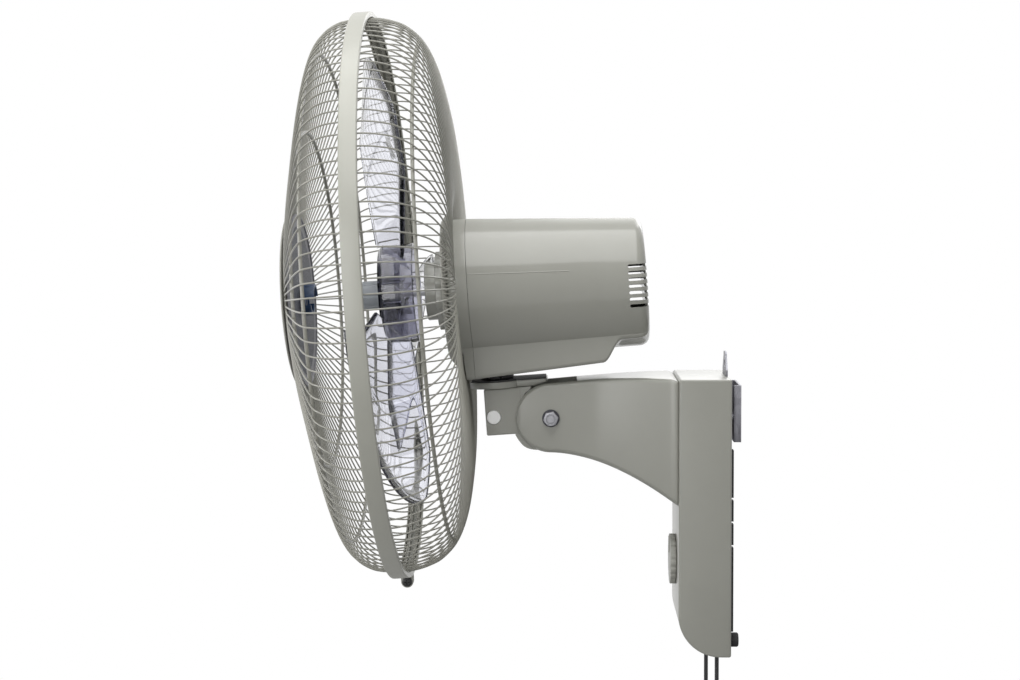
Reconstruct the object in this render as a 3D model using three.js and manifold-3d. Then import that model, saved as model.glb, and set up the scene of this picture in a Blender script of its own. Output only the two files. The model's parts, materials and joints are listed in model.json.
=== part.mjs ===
// Wall mounted fan with a caged propeller, a capacitor motor, an oscillating neck and a wall box.
// Millimetres. The wall is the plane y = 0, the fan blows towards -y and z is up.

import * as THREE from 'three';
import { mergeVertices } from 'three/addons/utils/BufferGeometryUtils.js';
import Module from 'manifold-3d';

const wasm = await Module();
wasm.setup();

// ---------------------------------------------------------------- driving dimensions

const FIT = 0.35; // gap between pieces that touch
const RUNNING = 1; // gap beside pieces that turn

// wall box
const BOX_WIDTH = 104;
const BOX_DEPTH = 50;
const BOX_TOP = 35;
const BOX_HEIGHT = 264;
const BOX_STAND_OFF = 11; // rear edge of the box to the wall
const BOX_WALL = 2.6;
const BOX_TOE_RADIUS = 40;
const BOX_EDGE = 3;

// bracket that is screwed to the wall
const BRACKET_WIDTH = 54;
const BRACKET_HEIGHT = 54.6;
const BRACKET_DEPTH = 7.2;
const BRACKET_SHEET = 2;
const BRACKET_SCREW_PITCH = 32;
const BRACKET_SCREW_HEIGHT = 14;
const BRACKET_HOLE = 2.6; // radius

// back plate of the box, with a keyhole tab that rises behind the top wall
const PLATE_SHEET = 1.6;
const PLATE_INSET = 1.4; // from the rear edge of the box
const TAB_RISE = 23;
const TAB_WIDTH = 40;
const TAB_TIP_WIDTH = 20;
const TAB_PAD = 16; // raised pad in front of the tab
const TAB_PAD_HEIGHT = 1.2;

// rubber pieces behind the box
const FOOT_INSET = 14.2;
const FOOT_RADIUS = 6.8;
const FOOT_HEIGHT = 8.8;
const CUSHION_WIDTH = 9;
const CUSHION_THICK = 3.2;
const CUSHION_HEIGHT = 173;
const CUSHION_RISE = 24; // above the bottom of the box

// arm
const ARM_WIDTH = 54;
const ARM_WALL = 3.4;
const ARM_NOSE_RADIUS = 33.5;
const ARM_EDGE = 5;
const ARM_DROP = 48;
const ARM_REACH = 121; // tilt bolt to the front of the box

// neck
const TILT_DEG = 4;
const NECK_WIDTH = 44;
const NECK_FRONT = 62.6; // ahead of the tilt bolt
const NECK_BACK = 27;
const NECK_BOTTOM = -13.5; // from the tilt bolt
const TONGUE_RADIUS = 24;
const TONGUE_LOBE = 38;
const TILT_BOLT = 4; // radius
const SWIVEL_AHEAD = 49.5; // swivel axis ahead of the tilt bolt
const SWIVEL_PLATE_RADIUS = 27;
const SWIVEL_PLATE_BOTTOM = 31.5;
const SWIVEL_PLATE_THICK = 6;
const FRICTION_DISC_THICK = 1.2;
const STOP_PIN_RADIUS = 6.6;
const SPINDLE_BOTTOM = 13;
const WASHER = 1.4;
const BOLT_HEAD = 7.5; // corner radius of a 13 mm hexagon
const SWIVEL_COLLAR_RADIUS = 16;
const SWIVEL_SPINDLE = 8;

// fan axis, from the tilt bolt
const AXIS_HEIGHT = 128;
const RIM_AHEAD = 151;

// motor housing, lengths along the fan axis from the plane of the rim
const COVER_FRONT = 63;
const COVER_SPLIT = 82;
const COVER_REAR = 251;
const COVER_RADIUS = 68.5;
const COVER_REAR_RADIUS = 59.8;
const COVER_REAR_DROP = 6.4;
const COVER_EDGE = 9;
const COVER_WALL = 2.6;
const BELLY_WIDTH = 80;
const BELLY_FRONT = 74;
const BELLY_DEPTH = 85;
const BELLY_END = 206;
const BELLY_RAMP = 16;
const BELLY_EDGE = 4;
const NOSE_RADIUS = 28;
const NOSE_LENGTH = 24;
const GUARD_NUT_LOBES = 10;
const GUARD_NUT_WALL = 10;
const GUARD_NUT_GRIP = 2.5; // depth of the hollows between its lobes
const GUARD_NUT_LENGTH = 10;
const VENT_COUNT = 7;
const VENT_PITCH = 6;
const VENT_HEIGHT = 3;
const VENT_TOP = 11.5;
const VENT_LENGTH = 18;
const VENT_MIDDLE = 56; // closed middle of the rear face

// motor
const STATOR_RADIUS = 50;
const STATOR_LENGTH = 44;
const STATOR_FRONT = 98;
const ROTOR_RADIUS = 29;
const SHAFT_RADIUS = 4;
const SHIELD_REACH = 13; // end shields beyond the stator core
const BEARING_RADIUS = 11;
const BEARING_LENGTH = 8;

// swing drive, heights from the fan axis
const GEARBOX_BOTTOM = -46;
const GEARBOX_TOP = 20;
const GEARBOX_WIDTH = 48;
const GEARBOX_LENGTH = 34;
const CRANK_THROW = 10;
const LINK_BOTTOM = -61.5;
const LINK_THICK = 3;
const LINK_PIN = 2.5;

// cage
const WIRE_COUNT = 48; // wires drawn on each guard; the real grille has about 128
const WIRE_RADIUS = 1.15;
const RING_WIRE = 1.7; // radius of the wire of the support rings
const RIM_WIRE = 2;
const BAND_RADIUS = 275;
const BAND_WIDTH = 16;
const BAND_SHEET = 1.6;
const BAND_LIP = 5.6;
const BAND_SPLIT = 5;
const CLAMP_LUG = 14;
const RIM_WIRE_OFFSET = 3.7; // from the plane of the rim
const FRONT_RING_STEPS = [31.5, 104.5]; // support rings, inwards from the ends of the wires
const REAR_RING_STEP = 26.5;
const HUB_RING_RADIUS = 78; // inner ring of the front guard
const FRONT_DEPTH = 86; // front guard at its inner ring
const REAR_DEPTH = 70; // rear guard at its fold
const REAR_FOLD_RADIUS = 82;
const REAR_HUB_RADIUS = 66; // ring and plate that close the rear guard
const PLATE_REST = 2.4;

// badge on the front guard
const BADGE_RADIUS = 84;
const BADGE_THICK = 2.4;
const CLIP_RADIUS = 15;
const CLIP_LENGTH = 13;

// propeller
const BLADE_COUNT = 3;
const BLADE_RADIUS = 229;
const BLADE_SHEET = 2.6;
const BLADE_START_DEG = 15;
const BLADE_MIDDLE = 7; // middle of the blades along the axis
const BLADE_ROOT_RISE = 14; // half of a blade's depth at the hub
const BLADE_RISE = 30;
const BLADE_TIP_WASHOUT = 6;
const BLADE_BELLY = 7;
const HUB_RADIUS = 48;
const HUB_FRONT = -8;
const HUB_REAR = 26;
const SPINNER_RADIUS = 14;
const SPINNER_FRONT = -30;
const SPINNER_REAR = 13;

// controls
const KNOB_RADIUS = 24.2;
const KNOB_PROUD = 6.8;
const KNOB_HEIGHT = -144.5;
const CORD_RADIUS = 2;
const CORD_GUIDE_RADIUS = 3.6;
const CORD_INSET = 16; // from the side of the box
const POWER_CORD_DEPTH = 17; // ahead of the rear edge of the box
const SWING_CORD_DEPTH = 12.4;
const POWER_CORD_LENGTH = 190;
const SWING_CORD_LENGTH = 140;
const PULL_RADIUS = 6.5;
const PULL_LENGTH = 30;
const INNER_INSET = 12; // capacitor and terminals, from the sides of the box
const CAPACITOR = [30, 18, 40]; // width, depth and height
const TERMINALS = 4;
const TERMINAL_PITCH = 8;
const ROTARY_SWITCH = 34; // width and height
const ROTARY_SWITCH_DEPTH = 16;
const SWITCH_WIDTH = 24;
const SWITCH_DEPTH = 16;
const SWITCH_HEIGHT = 32;
const SWITCH_RISE = 16; // above the bottom of the box

// ---------------------------------------------------------------- derived places

const BOX_REAR = -BOX_STAND_OFF;
const BOX_FRONT = BOX_REAR - BOX_DEPTH;
const BOX_BOTTOM = BOX_TOP - BOX_HEIGHT;
const PIVOT_Y = BOX_FRONT - ARM_REACH;
const PIVOT_Z = BOX_TOP - 39.5;
const RIM_WIRE_RADIUS = BAND_RADIUS - BAND_SHEET - FIT - RIM_WIRE;
const WIRE_END_RADIUS = RIM_WIRE_RADIUS - RIM_WIRE - WIRE_RADIUS - FIT;
const POWER_CORD_AT = [CORD_INSET - BOX_WIDTH / 2, BOX_REAR - POWER_CORD_DEPTH];
const SWING_CORD_AT = [BOX_WIDTH / 2 - CORD_INSET, BOX_REAR - SWING_CORD_DEPTH];
const INNER_TOP = BOX_TOP - 87;

// ---------------------------------------------------------------- shaping tools

const deg = THREE.MathUtils.degToRad;
const lerp = THREE.MathUtils.lerp;
const clamp = THREE.MathUtils.clamp;

// Merges shared corners, drops flat triangles and turns the faces outwards.
function tidy(geometry) {
  const bare = geometry.clone();
  for (const name of Object.keys(bare.attributes)) if (name !== 'position') bare.deleteAttribute(name);
  bare.clearGroups();
  const merged = mergeVertices(bare, 1e-4);
  const at = merged.getAttribute('position');
  const corners = [];
  let volume = 0;
  const [a, b, c] = [new THREE.Vector3(), new THREE.Vector3(), new THREE.Vector3()];
  for (let i = 0; i < merged.index.count; i += 3) {
    const [p, q, r] = [0, 1, 2].map((n) => merged.index.getX(i + n));
    if (p === q || q === r || r === p) continue;
    corners.push(p, q, r);
    b.fromBufferAttribute(at, q).cross(c.fromBufferAttribute(at, r));
    volume += a.fromBufferAttribute(at, p).dot(b);
  }
  if (volume < 0) corners.reverse();
  merged.setIndex(corners);
  return merged;
}

function toSolid(geometry) {
  const shape = tidy(geometry);
  const vertProperties = Float32Array.from(shape.getAttribute('position').array);
  const triVerts = Uint32Array.from(shape.index.array);
  return new wasm.Manifold(new wasm.Mesh({ numProp: 3, vertProperties, triVerts }));
}

function fromSolid(solid) {
  const mesh = solid.getMesh();
  const geometry = new THREE.BufferGeometry();
  geometry.setAttribute('position', new THREE.BufferAttribute(Float32Array.from(mesh.vertProperties), 3));
  geometry.setIndex(Array.from(mesh.triVerts));
  return geometry;
}

const join = (...parts) => fromSolid(parts.map(toSolid).reduce((a, b) => a.add(b)));
const cut = (body, ...tools) => fromSolid(tools.map(toSolid).reduce((a, b) => a.subtract(b), toSolid(body)));
const moved = (geometry, x, y, z) => geometry.clone().translate(x, y, z);

function block(x0, x1, y0, y1, z0, z1) {
  const box = new THREE.BoxGeometry(x1 - x0, y1 - y0, z1 - z0);
  return box.translate((x0 + x1) / 2, (y0 + y1) / 2, (z0 + z1) / 2);
}

// Revolves [radius, height] pairs round y, z or x.
function revolve(pairs, segments, axis = 'y') {
  const turned = new THREE.LatheGeometry(pairs.map(([r, h]) => new THREE.Vector2(r, h)), segments);
  if (axis === 'z') turned.rotateX(Math.PI / 2);
  if (axis === 'x') turned.rotateZ(-Math.PI / 2);
  return turned;
}

const rod = (radius, from, to, segments, axis) =>
  revolve([[0, from], [radius, from], [radius, to], [0, to]], segments, axis);

const tube = (inner, outer, from, to, segments, axis) =>
  revolve([[inner, from], [outer, from], [outer, to], [inner, to], [inner, from]], segments, axis);

// Extrudes an outline of (y, z) along x, of (x, z) along y, or of (x, y) along z.
function extrude(shape, from, to, axis, options = {}) {
  const bevel = options.bevel ?? 0;
  const solid = new THREE.ExtrudeGeometry(shape, {
    depth: to - from - 2 * bevel,
    bevelEnabled: bevel > 0,
    bevelSize: bevel,
    bevelThickness: bevel,
    bevelOffset: -bevel,
    bevelSegments: options.bevelSegments ?? 2,
    curveSegments: options.curveSegments ?? 8,
  });
  solid.translate(0, 0, from + bevel);
  const [x, y, z] = [new THREE.Vector3(1, 0, 0), new THREE.Vector3(0, 1, 0), new THREE.Vector3(0, 0, 1)];
  const frame = new THREE.Matrix4();
  if (axis === 'x') frame.makeBasis(y, z, x);
  if (axis === 'y') frame.makeBasis(x, z, y);
  return solid.applyMatrix4(frame);
}

function roundedRect(x0, x1, y0, y1, radius) {
  const shape = new THREE.Shape();
  shape.moveTo(x0 + radius, y0);
  shape.lineTo(x1 - radius, y0);
  shape.absarc(x1 - radius, y0 + radius, radius, -Math.PI / 2, 0);
  shape.lineTo(x1, y1 - radius);
  shape.absarc(x1 - radius, y1 - radius, radius, 0, Math.PI / 2);
  shape.lineTo(x0 + radius, y1);
  shape.absarc(x0 + radius, y1 - radius, radius, Math.PI / 2, Math.PI);
  shape.lineTo(x0, y0 + radius);
  shape.absarc(x0 + radius, y0 + radius, radius, Math.PI, 1.5 * Math.PI);
  return shape;
}

// Skins a row of closed sections, each the same number of points, and closes both ends.
function loft(sections) {
  const n = sections[0].length;
  const points = sections.flat();
  const corners = [];
  for (let s = 0; s + 1 < sections.length; s += 1) {
    for (let i = 0; i < n; i += 1) {
      const [a, b] = [s * n + i, s * n + ((i + 1) % n)];
      corners.push(a, b, b + n, a, b + n, a + n);
    }
  }
  for (const [start, flip] of [[0, true], [(sections.length - 1) * n, false]]) {
    const flat = points.slice(start, start + n).map((p) => new THREE.Vector2(p.x, p.z));
    for (const [a, b, c] of THREE.ShapeUtils.triangulateShape(flat, [])) {
      corners.push(...(flip ? [start + a, start + c, start + b] : [start + a, start + b, start + c]));
    }
  }
  const geometry = new THREE.BufferGeometry().setFromPoints(points);
  geometry.setIndex(corners);
  return geometry;
}

// Collects flat faces, each turned round where it has to look along a given direction.
class Faces {
  points = [];

  add(corners, outward = null) {
    const [a, b, c] = corners;
    const normal = b.clone().sub(a).cross(c.clone().sub(a));
    const order = outward && normal.dot(outward) < 0 ? [...corners].reverse() : corners;
    for (let i = 1; i + 1 < order.length; i += 1) this.points.push(order[0], order[i], order[i + 1]);
  }

  geometry() {
    return new THREE.BufferGeometry().setFromPoints(this.points);
  }
}

// A ring of round wire about the y axis.
function wireRing(radius, y, wireRadius, segments = 40) {
  return new THREE.TorusGeometry(radius, wireRadius, 4, segments).rotateX(Math.PI / 2).translate(0, y, 0);
}

// A hexagon nut or bolt head about the x axis, with a round hole.
function hexNut(bore, corner, from, to) {
  return cut(rod(corner, from, to, 6, 'x'), rod(bore, from - 1, to + 1, 12, 'x'));
}

// ---------------------------------------------------------------- cage, about the fan axis

// Wire centre lines as [radius, distance along the axis] pairs, from the rim to the middle.
const frontPath = () => [
  [WIRE_END_RADIUS, -RIM_WIRE_OFFSET - 1.5],
  [WIRE_END_RADIUS - 8, -0.38 * FRONT_DEPTH],
  [WIRE_END_RADIUS - 25, -0.59 * FRONT_DEPTH],
  [WIRE_END_RADIUS - 106, -0.87 * FRONT_DEPTH],
  [HUB_RING_RADIUS + RING_WIRE, -FRONT_DEPTH],
];

const rearPath = () => [
  [WIRE_END_RADIUS, RIM_WIRE_OFFSET + 1.5],
  [WIRE_END_RADIUS - 9, 0.49 * REAR_DEPTH],
  [WIRE_END_RADIUS - 34, 0.79 * REAR_DEPTH],
  [WIRE_END_RADIUS - 92, 0.95 * REAR_DEPTH],
  [REAR_FOLD_RADIUS, REAR_DEPTH],
  [REAR_HUB_RADIUS + RIM_WIRE, REAR_DEPTH - 10],
];

// Place of a support ring that lies against the inner side of the wires.
function insidePath(path, radius) {
  const i = path.findIndex(([r]) => r <= radius);
  const [[r0, y0], [r1, y1]] = [path[i - 1], path[i]];
  const along = new THREE.Vector2(r1 - r0, y1 - y0).normalize();
  const inward = new THREE.Vector2(along.y, -along.x);
  if (inward.y * y1 > 0) inward.negate();
  const gap = WIRE_RADIUS + RING_WIRE + FIT;
  return [radius + inward.x * gap, lerp(y0, y1, (r0 - radius) / (r0 - r1)) + inward.y * gap];
}

const supportRing = (path, step) => {
  const [r, y] = insidePath(path, WIRE_END_RADIUS - step);
  return wireRing(r, y, RING_WIRE);
};

// Turns a place beside wire k (radius outwards, height along the axis, and across) to the fan's frame.
function besideWire(k, radius, y, across) {
  const angle = (2 * Math.PI * (k + 0.5)) / WIRE_COUNT;
  const [sin, cos] = [Math.sin(angle), Math.cos(angle)];
  return new THREE.Vector3(radius * cos - across * sin, y, radius * sin + across * cos);
}

function ringCorner(k, radius, y) {
  const angle = (2 * Math.PI * (k % WIRE_COUNT)) / WIRE_COUNT;
  return new THREE.Vector3(radius * Math.cos(angle), y, radius * Math.sin(angle));
}

// Three corners of the wire at its nth point; ends lie flat in the face of the ring they meet.
function wireSection(k, path, n) {
  const [radius, y] = path[n];
  const [before, after] = [path[Math.max(n - 1, 0)], path[Math.min(n + 1, path.length - 1)]];
  const along = new THREE.Vector2(after[0] - before[0], after[1] - before[1]).normalize();
  const atEnd = n === 0 || n === path.length - 1;
  const [upR, upY] = atEnd ? [0, Math.sign(along.x)] : [-along.y, along.x];
  return [0, 1, 2].map((corner) => {
    const angle = (2 * Math.PI * corner) / 3;
    const up = WIRE_RADIUS * Math.cos(angle);
    return besideWire(k, radius + upR * up, y + upY * up, WIRE_RADIUS * Math.sin(angle));
  });
}

// One bay of a square ring, with a hole for wire k in its inner or outer face.
function ringBay(faces, k, radius, y, half, openSide) {
  const out = besideWire(k, 1, 0, 0);
  const axis = new THREE.Vector3(0, 1, 0);
  const edge = (r, h) => [ringCorner(k, r, h), ringCorner(k + 1, r, h)];
  const [inner, outer] = [radius - half, radius + half];
  const quad = ([a, b], [c, d]) => [a, b, d, c];
  faces.add(quad(edge(inner, y + half), edge(outer, y + half)), axis);
  faces.add(quad(edge(inner, y - half), edge(outer, y - half)), axis.clone().negate());
  const [shut, open] = openSide > 0 ? [inner, outer] : [outer, inner];
  faces.add(quad(edge(shut, y - half), edge(shut, y + half)), out.clone().multiplyScalar(-openSide));
  return { frame: quad(edge(open, y - half), edge(open, y + half)), look: out.multiplyScalar(openSide) };
}

// Fills the face between the frame of a ring's bay and the three corners of the wire's end.
function weld(faces, k, { frame, look }, end) {
  const across = besideWire(k, 0, 0, 1);
  const flat = (p) => new THREE.Vector2(p.dot(across), p.y);
  const contour = frame.map(flat);
  const hole = end.map(flat);
  const points = [...frame, ...end];
  for (const triangle of THREE.ShapeUtils.triangulateShape(contour, [hole])) {
    faces.add(triangle.map((i) => points[i]), look);
  }
}

// All wires of one guard, welded to the square rim wire and to the ring round the middle.
function cage(path, hubHalf) {
  const side = Math.sign(path[path.length - 1][1]);
  const [hubFace, hubY] = path[path.length - 1];
  const flatness = Math.cos(Math.PI / WIRE_COUNT);
  const rimFace = RIM_WIRE_RADIUS - RIM_WIRE;
  const start = [rimFace * flatness, side * RIM_WIRE_OFFSET];
  const route = [start, ...path.slice(0, -1), [hubFace * flatness, hubY]];
  const faces = new Faces();
  for (let k = 0; k < WIRE_COUNT; k += 1) {
    const sections = route.map((_, n) => wireSection(k, route, n));
    for (let n = 0; n + 1 < route.length; n += 1) {
      const [from, to] = [sections[n], sections[n + 1]];
      for (let c = 0; c < 3; c += 1) faces.add([from[c], from[(c + 1) % 3], to[(c + 1) % 3], to[c]]);
    }
    const rim = ringBay(faces, k, RIM_WIRE_RADIUS, side * RIM_WIRE_OFFSET, RIM_WIRE, -1);
    weld(faces, k, rim, sections[0]);
    const hub = ringBay(faces, k, hubFace - hubHalf, hubY, hubHalf, 1);
    weld(faces, k, hub, sections[sections.length - 1]);
  }
  return faces.geometry();
}

const frontGuard = () => cage(frontPath(), RING_WIRE);

// The rear guard ends in a plate that a ring nut holds against the front cover.
function rearGuard() {
  const rear = COVER_FRONT - FIT;
  const plate = tube(NOSE_RADIUS + FIT, REAR_HUB_RADIUS, rear - PLATE_REST, rear, 32);
  return join(cage(rearPath(), RIM_WIRE), plate);
}

// Sprung band of channel section round both rim wires, split below for its clamp.
function rimBand() {
  const [half, rim, lip] = [BAND_WIDTH / 2, BAND_RADIUS, BAND_RADIUS - BAND_LIP];
  const channel = revolve([
    [rim, -half], [rim, half], [lip, half], [lip, half - BAND_SHEET], [rim - BAND_SHEET, half - BAND_SHEET],
    [rim - BAND_SHEET, BAND_SHEET - half], [lip, BAND_SHEET - half], [lip, -half], [rim, -half],
  ], WIRE_COUNT);
  const lugTop = -(BAND_RADIUS - BAND_SHEET / 2);
  const lugs = [-1, 1].map((s) => {
    const inner = (s * BAND_SPLIT) / 2;
    const outer = inner + s * BAND_SHEET * 1.5;
    const [low, high] = [Math.min(inner, outer), Math.max(inner, outer)];
    return block(low, high, -half + 2, half - 2, lugTop - CLAMP_LUG, lugTop);
  });
  const gapTop = -BAND_RADIUS + BAND_LIP + 1;
  const gap = block(-BAND_SPLIT / 2, BAND_SPLIT / 2, -half - 1, half + 1, -BAND_RADIUS - 1, gapTop);
  const hole = rod(2.8, -12, 12, 12, 'x').translate(0, 0, clampHeight());
  return cut(join(cut(channel, gap), ...lugs), hole);
}

const clampHeight = () => -(BAND_RADIUS + CLAMP_LUG * 0.55);

function clampScrew() {
  const lug = BAND_SPLIT / 2 + BAND_SHEET * 1.5 + FIT;
  const head = rod(4.8, lug, lug + 4, 12, 'x');
  const stem = rod(2.4, -lug - 7, lug + 1, 12, 'x');
  return join(head, stem).translate(0, 0, clampHeight());
}

function clampNut() {
  const lug = BAND_SPLIT / 2 + BAND_SHEET * 1.5 + FIT;
  return hexNut(2.4 + FIT, 5, -lug - 4.5, -lug).translate(0, 0, clampHeight());
}

function badgeFront() {
  const back = -(FRONT_DEPTH + RING_WIRE + FIT);
  return revolve([
    [0, back], [BADGE_RADIUS - 1, back], [BADGE_RADIUS, back - 1], [BADGE_RADIUS - 3, back - BADGE_THICK],
    [BADGE_RADIUS - 8, back - BADGE_THICK], [BADGE_RADIUS - 9, back - BADGE_THICK + 0.8],
    [0, back - BADGE_THICK + 0.2],
  ], 36);
}

// Backing disc behind the wires, and the clip that holds both discs together.
const badgeBackFace = () => -(FRONT_DEPTH - RING_WIRE - FIT);

function badgeBack() {
  const front = badgeBackFace();
  return revolve([
    [0, front], [BADGE_RADIUS - 1.5, front], [BADGE_RADIUS, front + 1], [BADGE_RADIUS, front + 3],
    [BADGE_RADIUS - 2, front + 3], [BADGE_RADIUS - 2, front + BADGE_THICK - 0.6],
    [0, front + BADGE_THICK - 0.6],
  ], 36);
}

function badgeClip() {
  const base = badgeBackFace() + BADGE_THICK - 0.6 + FIT;
  const body = tube(5, CLIP_RADIUS, base, base + CLIP_LENGTH, 24);
  const notch = block(-20, 20, base + CLIP_LENGTH * 0.35, base + CLIP_LENGTH + 1, -4.5, 2.5);
  const step = block(-20, 20, base + CLIP_LENGTH * 0.72, base + CLIP_LENGTH + 1, -20, 2.5);
  return cut(body, notch, step);
}

// ---------------------------------------------------------------- propeller, about the fan axis

// One wide blade: s runs from the hub to the tip and t from the leading to the trailing edge.
function bladePoint(s, t, face) {
  const rounding = 1 - Math.pow(Math.abs(t), 3) * 0.09 * s * s;
  const radius = lerp(HUB_RADIUS - 2, BLADE_RADIUS, s) * lerp(1, rounding, s);
  const halfAngle = deg(lerp(27, 33, Math.sin(Math.PI * Math.min(s * 1.1, 1) * 0.5)) - 3 * s);
  const sweep = deg(10) * s * s;
  const angle = -sweep + t * halfAngle;
  const halfDepth = lerp(BLADE_ROOT_RISE, BLADE_RISE, Math.min(s * 1.6, 1)) - BLADE_TIP_WASHOUT * s * s;
  const belly = BLADE_BELLY * (1 - t * t) * s;
  const depth = BLADE_MIDDLE + t * halfDepth - belly + (face * BLADE_SHEET) / 2;
  return new THREE.Vector3(radius * Math.sin(angle), depth, radius * Math.cos(angle));
}

function blade(rows = 6, columns = 5) {
  const sections = [];
  for (let i = 0; i <= rows; i += 1) {
    const s = i / rows;
    const across = Array.from({ length: columns + 1 }, (_, j) => (2 * j) / columns - 1);
    const edge = (face) => across.map((t) => bladePoint(s, t, face));
    sections.push([...edge(-1), ...edge(1).reverse()]);
  }
  const n = sections[0].length;
  const corners = [];
  for (let s = 0; s + 1 < sections.length; s += 1) {
    for (let i = 0; i < n; i += 1) {
      const [a, b] = [s * n + i, s * n + ((i + 1) % n)];
      corners.push(a, b, b + n, a, b + n, a + n);
    }
  }
  const last = (sections.length - 1) * n;
  for (let j = 0; j < columns; j += 1) {
    const [a, b, c, d] = [j, j + 1, n - 2 - j, n - 1 - j];
    corners.push(a, c, b, a, d, c, last + a, last + b, last + c, last + a, last + c, last + d);
  }
  const geometry = new THREE.BufferGeometry().setFromPoints(sections.flat());
  geometry.setIndex(corners);
  return geometry;
}

function propeller() {
  const bore = SPINNER_RADIUS + FIT;
  const cup = revolve([
    [bore, HUB_FRONT], [HUB_RADIUS - 4, HUB_FRONT], [HUB_RADIUS, HUB_FRONT + 4], [HUB_RADIUS, HUB_REAR],
    [HUB_RADIUS - 3, HUB_REAR], [HUB_RADIUS - 3, HUB_FRONT + 3], [bore, HUB_FRONT + 3], [bore, HUB_FRONT],
  ], 36);
  const blades = Array.from({ length: BLADE_COUNT }, (_, k) =>
    blade().rotateY((2 * Math.PI * k) / BLADE_COUNT + deg(BLADE_START_DEG)));
  return join(cup, ...blades);
}

// Capped nut that clamps the propeller on the shaft.
function spinner() {
  const r = SPINNER_RADIUS;
  const bore = SHAFT_RADIUS + FIT;
  return revolve([
    [bore, SPINNER_REAR], [r, SPINNER_REAR], [r, SPINNER_FRONT + 8], [r * 0.86, SPINNER_FRONT + 3],
    [r * 0.5, SPINNER_FRONT], [0, SPINNER_FRONT], [0, SPINNER_FRONT + 6], [bore, SPINNER_FRONT + 6],
    [bore, SPINNER_REAR],
  ], 18);
}

// ---------------------------------------------------------------- motor housing, about the fan axis

// Outline of the covers at a distance u along the axis: a drafted circle with a square belly below.
function coverSection(u, inset) {
  const along = clamp((u - COVER_SPLIT) / (COVER_REAR - COVER_SPLIT), 0, 1);
  const radius = lerp(COVER_RADIUS, COVER_REAR_RADIUS, along) - inset;
  const centre = lerp(0, -COVER_REAR_DROP, along);
  const half = BELLY_WIDTH / 2 - inset;
  const rise = clamp((u - BELLY_END) / BELLY_RAMP, 0, 1);
  const shut = Math.max(rise, clamp((BELLY_FRONT + inset - u) / 1.5, 0, 1));
  const depth = lerp(BELLY_DEPTH, BELLY_DEPTH - 4, along);
  const bellyBottom = inset * (1 - shut) - lerp(depth, radius * 0.9, shut);
  const start = Math.asin(clamp(half / radius, -1, 1));
  const points = [];
  const arcSteps = 16;
  for (let i = 0; i <= arcSteps; i += 1) {
    const angle = lerp(Math.PI - start, start - Math.PI, i / arcSteps);
    points.push(new THREE.Vector3(radius * Math.sin(angle), u, centre + radius * Math.cos(angle)));
  }
  for (const x of bellyStations(half)) {
    const circle = centre - Math.sqrt(radius * radius - x * x);
    const over = Math.max(Math.abs(x) - (half - BELLY_EDGE), 0);
    const flat = bellyBottom + BELLY_EDGE - Math.sqrt(BELLY_EDGE * BELLY_EDGE - over * over);
    points.push(new THREE.Vector3(x, u, Math.min(circle, flat) - (Math.abs(x) > half - 0.2 ? 0.05 : 0)));
  }
  return points;
}

const bellyStations = (half) =>
  [-1, -0.96, -0.88, 0.88, 0.96, 1].map((t) => t * half * 0.9999);

// Skins the covers between two distances, drawn in at the ends that are rounded.
function coverSkin(from, to, inset, roundFront, roundRear) {
  const stations = [];
  const steps = 2;
  for (let i = 0; roundFront && i < steps; i += 1) {
    const angle = (Math.PI / 2) * (i / steps);
    stations.push([from + roundFront * (1 - Math.cos(angle)), inset + roundFront * (1 - Math.sin(angle))]);
  }
  const [plainFrom, plainTo] = [from + roundFront, to - roundRear];
  const bellyFront = BELLY_FRONT + inset;
  const breaks = [plainFrom, bellyFront - 1.5, bellyFront, BELLY_END, BELLY_END + BELLY_RAMP, plainTo]
    .filter((u) => u >= plainFrom && u <= plainTo);
  for (const u of [...new Set(breaks)].sort((a, b) => a - b)) stations.push([u, inset]);
  for (let i = 1; roundRear && i <= steps; i += 1) {
    const angle = (Math.PI / 2) * (i / steps);
    stations.push([to - roundRear * (1 - Math.sin(angle)), inset + roundRear * (1 - Math.cos(angle))]);
  }
  return loft(stations.map(([u, drawn]) => coverSection(u, drawn)));
}

function rearCover() {
  const shell = coverSkin(COVER_SPLIT + FIT, COVER_REAR, 0, 0, COVER_EDGE);
  const hollow = coverSkin(COVER_SPLIT - 1, COVER_REAR - COVER_WALL, COVER_WALL, 0, COVER_EDGE - COVER_WALL);
  const vents = [];
  for (let k = 0; k < VENT_COUNT; k += 1) {
    const top = VENT_TOP - k * VENT_PITCH;
    for (const side of [-1, 1]) {
      const [near, far] = [(side * VENT_MIDDLE) / 2, side * (COVER_RADIUS + 5)];
      vents.push(block(Math.min(near, far), Math.max(near, far), COVER_REAR - VENT_LENGTH, COVER_REAR + 1,
        top - VENT_HEIGHT, top));
    }
  }
  const spindleHole = rod(SWIVEL_SPINDLE + RUNNING, -BELLY_DEPTH - 2, -BELLY_DEPTH + 8, 20, 'z');
  spindleHole.translate(0, swivelAlong, 0);
  return cut(shell, hollow, ...vents, spindleHole);
}

function frontCover() {
  const shell = coverSkin(COVER_FRONT, COVER_SPLIT, 0, 5, 0);
  const hollow = coverSkin(COVER_FRONT + COVER_WALL, COVER_SPLIT + 1, COVER_WALL, 2.4, 0);
  const nose = tube(NOSE_RADIUS - 6, NOSE_RADIUS, COVER_FRONT - NOSE_LENGTH, COVER_FRONT + 1, 24);
  const bore = rod(SHAFT_RADIUS + RUNNING, COVER_FRONT - NOSE_LENGTH - 1, COVER_FRONT + 8, 16);
  const end = rod(NOSE_RADIUS - 5, COVER_FRONT - NOSE_LENGTH, COVER_FRONT - NOSE_LENGTH + 3, 24);
  return cut(join(cut(shell, hollow), nose, end), bore);
}

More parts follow.
